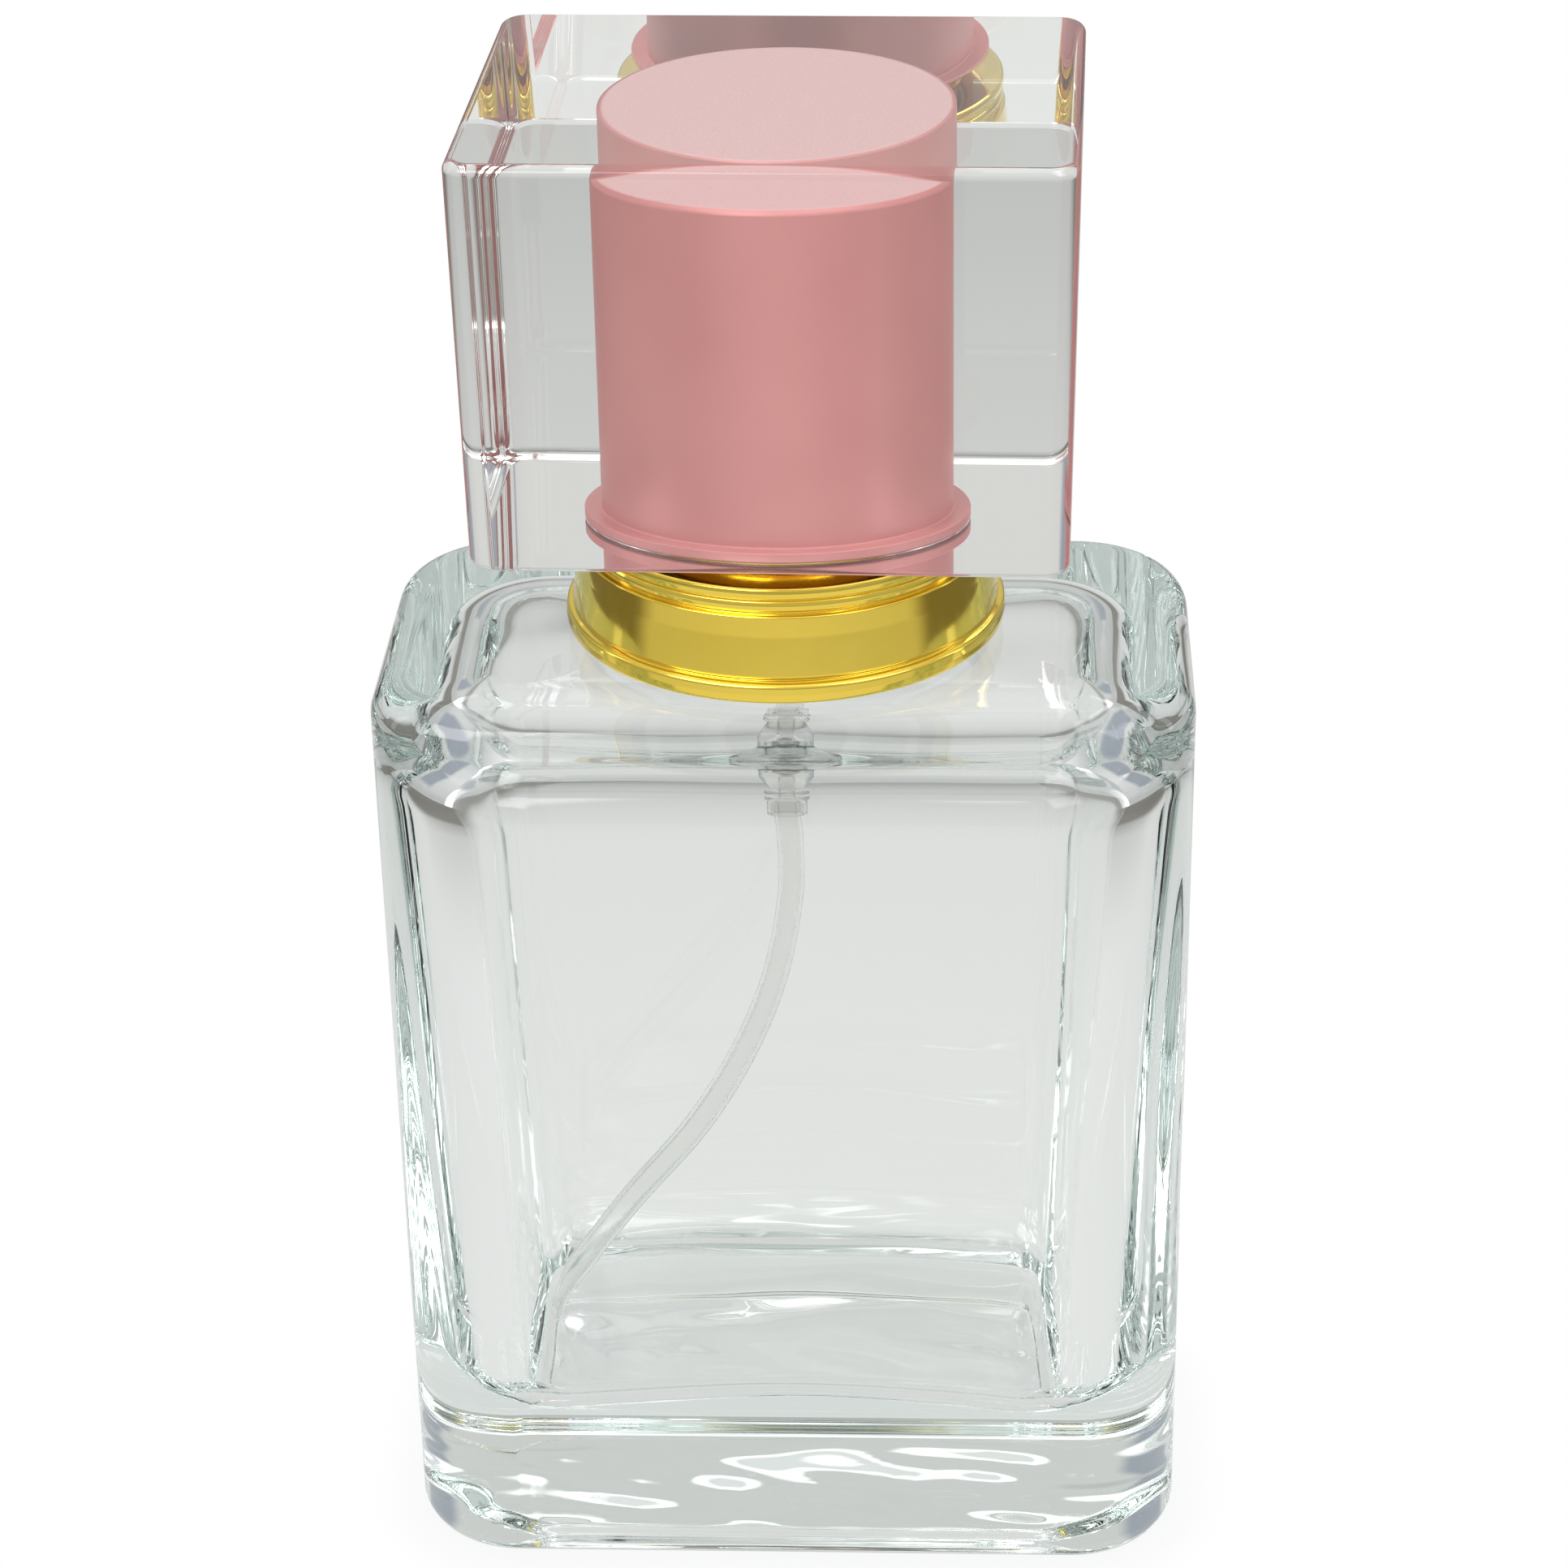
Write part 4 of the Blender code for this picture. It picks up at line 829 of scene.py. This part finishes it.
button = lathe(
    "button_white",
    [
        (0.0, 6.8), (5.85, 6.8, 0.5), (5.85, 0.0, 0.15), (5.05, 0.0, 0.15), (5.05, 4.6, 0.3),
        (2.7, 4.6, 0.3), (2.7, 1.0, 0.12), (1.6, 1.0, 0.12), (1.6, 3.6, 0.05), (0.45, 3.6, 0.05),
        (0.45, 4.1, 0.05), (0.0, 4.1),
    ],
    False, 96, height=BUTTON,
)
cut(button, facing_front("boss_tool", rod(2.3, 2.1, 5.55)), "UNION")
cut(button, facing_front("socket_tool", rod(1.55, 3.05, 7.0)), "DIFFERENCE")
cut(button, facing_front("channel_tool", rod(0.36, 0.0, 3.5), 24), "DIFFERENCE")
button.data.set_sharp_from_angle(angle=CREASE)
place(button, WHITE, "spray_button", "white_plastic", "actuator_button")

sleeve = lathe(
    "sleeve_gold",
    [(0.0, 7.25), (6.3, 7.25, 0.5), (6.3, -0.3, 0.12), (6.0, -0.3, 0.12), (6.0, 6.95, 0.3), (0.0, 6.95)],
    False, 160, 8, height=BUTTON,
)
cut(sleeve, facing_front("window_tool", rod(1.95, 4.5, 7.5)), "DIFFERENCE")
sleeve.data.set_sharp_from_angle(angle=CREASE)
place(sleeve, GOLD_SLEEVE, "spray_button", "gold_aluminium", "actuator_sleeve")

nozzle = facing_front(
    "nozzle_white",
    [
        (0.2, 5.4, 0.03), (0.9, 5.7, 0.08), (1.42, 5.7, 0.15), (1.42, 3.2, 0.05), (0.8, 3.2, 0.05),
        (0.8, 4.9, 0.05), (0.2, 4.9, 0.03),
    ],
    64, True,
)
place(nozzle, WHITE, "spray_button", "white_plastic", "nozzle_insert")

# ---------------------------------------------------------------- cap

BLOCK_X, BLOCK_Y, BLOCK_Z = 15.725, 12.6, 21.95
BLOCK_CORNER, BLOCK_TOP_EDGE, BLOCK_FOOT_EDGE = 1.5, 0.6, 0.5
BLOCK_DRAFT = 0.3


def cap_rings():
    """The acrylic block from its top, over its edges and up the bore that holds the cup."""
    rings = []

    def add(ring):
        rings.append((ring[0] + (0, 0, CAP), ring[1], 0.0))

    for a in np.radians(np.linspace(0, 90, 9)):
        inset = BLOCK_TOP_EDGE * (1 - math.sin(a))
        level = BLOCK_Z - BLOCK_TOP_EDGE * (1 - math.cos(a))
        add(block(BLOCK_X - inset, BLOCK_Y - inset, BLOCK_CORNER - inset, level, math.sin(a), math.cos(a)))
    for a in np.radians(np.linspace(0, 90, 9)):
        inset = BLOCK_FOOT_EDGE * (1 - math.cos(a)) + BLOCK_DRAFT
        corner = BLOCK_CORNER - inset + BLOCK_DRAFT
        level = BLOCK_FOOT_EDGE * (1 - math.sin(a))
        add(block(BLOCK_X - inset, BLOCK_Y - inset, corner, level, math.cos(a), -math.sin(a)))
    bore = [
        (10.35, 0.0), (10.0, 0.0, 0.12), (10.0, 0.62, 0.06), (9.15, 0.62, 0.06), (9.15, 18.95, 0.2),
        (0.5, 18.95),
    ]
    outline, slopes = rounded_outline(bore, False, 6)
    for (radius, level), (flat, lift) in zip(outline, slopes):
        add(circle(radius, level, flat, lift))
    return rings


block_piece = loft("cap_acrylic", cap_rings())
block_piece.data.transform(Matrix.Rotation(CAP_TURN, 4, "Z"))
lets_light_in(place(block_piece, ACRYLIC, "cap", "clear_acrylic", "cap_block"))

cup = lathe(
    "cup_pink",
    [
        (0.0, 19.05), (9.0, 19.05, 0.3), (9.25, 18.8, 0.3), (9.25, 0.7, 0.1), (10.15, 0.7, 0.08),
        (10.15, 0.1, 0.15), (8.9, 0.1, 0.1), (8.9, 18.7, 0.4), (0.0, 18.7),
    ],
    False, 192, 8, height=CAP,
)
place(cup, PINK, "cap", "pink_aluminium", "cap_cup")

cap_liner = lathe(
    "cap_inner_cup",
    [(0.0, 18.55), (8.8, 18.55, 0.4), (8.8, 0.2, 0.08), (8.55, 0.2, 0.08), (8.55, 18.3, 0.3), (0.0, 18.3)],
    False, 128, height=CAP,
)
place(cap_liner, WHITE, "cap", "white_plastic", "cap_liner")

# ---------------------------------------------------------------- floor


FLOOR_DROP = 0.02  # mm under the base, so that the two never share a plane
TABLE_WIDE, TABLE_DEEP, TABLE_BACK = 0.30, 0.335, 0.12  # the lit table's reach and its shift to the front
BASE_X, BASE_Y = 0.0145, 0.005  # half sizes of the box that the contact shadow is measured from


def floor():
    """The pale floor, with the shadow where the bottle stands."""
    size, count = 2500.0, 24
    grid = np.linspace(-size, size, count + 1)
    points = [(x, y, 0.0) for y in grid for x in grid]
    faces = [
        (corner, corner + 1, corner + count + 2, corner + count + 1)
        for corner in (row * (count + 1) + column for row in range(count) for column in range(count))
    ]
    obj = make_mesh("floor", np.array(points) - (0, 0, FLOOR_DROP), faces)
    s = Shader("floor_pale")
    x, y, _ = s.parts()
    # what glass and metal meet: a lit table that falls off to a darker room
    wide = s.math("POWER", s.math("DIVIDE", x, TABLE_WIDE), 2.0)
    deep = s.math("POWER", s.math("DIVIDE", s.math("ADD", y, TABLE_BACK), TABLE_DEEP), 2.0)
    falloff = s.math("EXPONENT", s.math("MULTIPLY", s.math("ADD", wide, deep), -1.0))
    table = s.blend(falloff, (0.33, 0.335, 0.325), (0.9, 0.905, 0.89))
    # painted shade: dark patches on the table to either side of the bottle, which the glass and metal show
    shade_beside = s.spread(s.math("ABSOLUTE", x), 0.07, 0.125, 0.0, 1.0)
    shade_beside = s.math("MULTIPLY", shade_beside, s.spread(y, -0.085, -0.02, 0.0, 1.0))
    table = s.blend(shade_beside, table, (0.20, 0.19, 0.17))
    # a soft contact shadow round the base
    out_x = s.math("MAXIMUM", s.math("SUBTRACT", s.math("ABSOLUTE", x), BASE_X), 0.0)
    out_y = s.math("MAXIMUM", s.math("SUBTRACT", s.math("ABSOLUTE", y), BASE_Y), 0.0)
    out = s.math("SQRT", s.math("ADD", s.math("POWER", out_x, 2.0), s.math("POWER", out_y, 2.0)))
    shade = s.spread(out, 0.004, 0.0125, 0.86, 1.0)
    seen = s.blend(s.spread(out, 0.0055, 0.0115, 0.0, 1.0), (0.93, 0.935, 0.935), (1.0, 1.0, 1.0))
    path = s.add("ShaderNodeLightPath")
    light = s.add("ShaderNodeEmission")
    dim = s.add("ShaderNodeVectorMath", operation="SCALE")
    s.feed(dim.inputs[0], table)
    s.feed(dim.inputs["Scale"], shade)
    s.feed(light.inputs[0], s.blend(path.outputs["Is Camera Ray"], dim.outputs[0], seen))
    s.tree.links.new(light.outputs[0], s.output.inputs["Surface"])
    obj.data.materials.append(s.material)


floor()

# ---------------------------------------------------------------- studio light


class Sky(Shader):
    """The world, painted by direction for every ray but the camera's own."""

    def __init__(self):
        self.world = bpy.data.worlds.new("studio")
        bpy.context.scene.world = self.world
        self.world.use_nodes = True
        self.tree = self.world.node_tree
        self.tree.nodes.clear()
        self.place = self.add("ShaderNodeTexCoord").outputs["Generated"]

    def box(self, azimuth, elevation, half_width, half_height, soft):
        """1 inside a softbox seen that way, falling to 0 over its soft edge."""
        a, e = math.radians(azimuth), math.radians(elevation)
        to = Vector((math.sin(a) * math.cos(e), -math.cos(a) * math.cos(e), math.sin(e)))
        right = to.cross(Vector((0, 0, 1))).normalized() if abs(elevation) < 89 else Vector((1, 0, 0))
        up = right.cross(to)

        def along(axis):
            node = self.add("ShaderNodeVectorMath", operation="DOT_PRODUCT")
            self.feed(node.inputs[0], self.place)
            node.inputs[1].default_value = axis
            return node.outputs["Value"]

        depth = along(to)
        safe = self.math("MAXIMUM", depth, 0.05)
        sides = []
        for axis, half in ((right, half_width), (up, half_height)):
            reach = self.math("ABSOLUTE", self.math("DIVIDE", along(axis), safe))
            limit = math.tan(math.radians(half))
            sides.append(self.spread(reach, limit, limit * (1 + soft), 1.0, 0.0))
        front = self.spread(depth, 0.0, 0.1, 0.0, 1.0)
        return self.math("MULTIPLY", self.math("MULTIPLY", *sides), front)


def studio():
    """Paints the softboxes and the room on the world."""
    s = Sky()
    _, _, z = s.parts()
    low = s.blend(s.spread(z, 0.02, 0.42, 0.0, 1.0), (0.50, 0.51, 0.50), (0.66, 0.67, 0.66))
    sky = s.blend(s.spread(z, 0.35, 0.95, 0.0, 1.0), low, (0.9, 0.9, 0.9))
    # degrees round from the front, up, half wide and half high, then the soft edge and the light
    for azimuth, elevation, width, height, soft, colour in (
        (-38, 42, 17, 12, 0.5, (5.5, 5.5, 5.4)),
        (55, 50, 12, 16, 0.5, (3.6, 3.6, 3.7)),
        (0, 88, 24, 20, 0.5, (1.35, 1.35, 1.35)),
        (180, 33, 30, 12, 0.6, (0.68, 0.68, 0.66)),
        (176, 50, 24, 2.5, 1.2, (1.3, 1.3, 1.3)),
        (138, 28, 11, 10, 0.8, (0.34, 0.37, 0.42)),
        (-138, 28, 11, 10, 0.8, (0.34, 0.37, 0.42)),
        (-97, 14, 2.5, 18, 0.5, (1.9, 1.9, 2.0)),
        (99, 14, 2.5, 18, 0.5, (2.1, 2.1, 2.1)),
    ):
        sky = s.blend(s.box(azimuth, elevation, width, height, soft), sky, colour)
    path = s.add("ShaderNodeLightPath")
    back = s.add("ShaderNodeBackground")
    s.feed(back.inputs[0], s.blend(path.outputs["Is Camera Ray"], sky, (1.0, 1.0, 1.0)))
    out = s.add("ShaderNodeOutputWorld")
    s.tree.links.new(back.outputs[0], out.inputs["Surface"])


studio()


def softbox(name, spot, aim, size, watts):
    """A square area lamp, unseen by the camera and by glass and gloss."""
    lamp = bpy.data.lights.new(name, "AREA")
    lamp.shape, lamp.size, lamp.energy = "SQUARE", size, watts
    obj = bpy.data.objects.new(name, lamp)
    obj.location = spot
    obj.rotation_euler = (Vector(aim) - Vector(spot)).to_track_quat("-Z", "Y").to_euler()
    obj.visible_camera = obj.visible_glossy = obj.visible_transmission = False
    bpy.context.scene.collection.objects.link(obj)


softbox("key_light", (-0.62, -0.72, 0.85), (0, 0, 0.05), 0.35, 6.0)
softbox("fill_light", (0.85, -0.35, 0.55), (0, 0, 0.05), 0.45, 6.5)

# ---------------------------------------------------------------- camera and colour


VIEW_AZIMUTH, VIEW_ELEVATION, VIEW_ROLL = 2.95, 27.22, -1.11
VIEW_AIM, VIEW_DISTANCE = (-0.000297, 0, 0.044066), 0.24332
VIEW_SENSOR, VIEW_LENS = 36.0, 100.87


def camera():
    """The view of the photograph."""
    azimuth, elevation, roll = (math.radians(angle) for angle in (VIEW_AZIMUTH, VIEW_ELEVATION, VIEW_ROLL))
    level = math.cos(elevation)
    back = Vector((math.sin(azimuth) * level, -math.cos(azimuth) * level, math.sin(elevation)))
    right = (-back).cross(Vector((0, 0, 1))).normalized()
    up = right.cross(-back)
    c, s = math.cos(roll), math.sin(roll)
    right, up = c * right + s * up, c * up - s * right
    turn = Matrix((right, up, back)).transposed().to_4x4()
    data = bpy.data.cameras.new("view_camera")
    data.sensor_width, data.lens = VIEW_SENSOR, VIEW_LENS
    data.clip_start, data.clip_end = 0.01, 20.0
    obj = bpy.data.objects.new("view_camera", data)
    obj.matrix_world = Matrix.Translation(Vector(VIEW_AIM) + back * VIEW_DISTANCE) @ turn
    bpy.context.scene.collection.objects.link(obj)
    bpy.context.scene.camera = obj


camera()

scene = bpy.context.scene
scene.view_settings.view_transform = "Standard"
scene.view_settings.look = "None"
scene.cycles.max_bounces = 32
scene.cycles.transmission_bounces = 32
scene.cycles.glossy_bounces = 16
scene.cycles.diffuse_bounces = 3
scene.cycles.transparent_max_bounces = 8
scene.cycles.caustics_reflective = False
scene.cycles.caustics_refractive = False
scene.cycles.sample_clamp_indirect = 8.0
scene.cycles.blur_glossy = 0.3
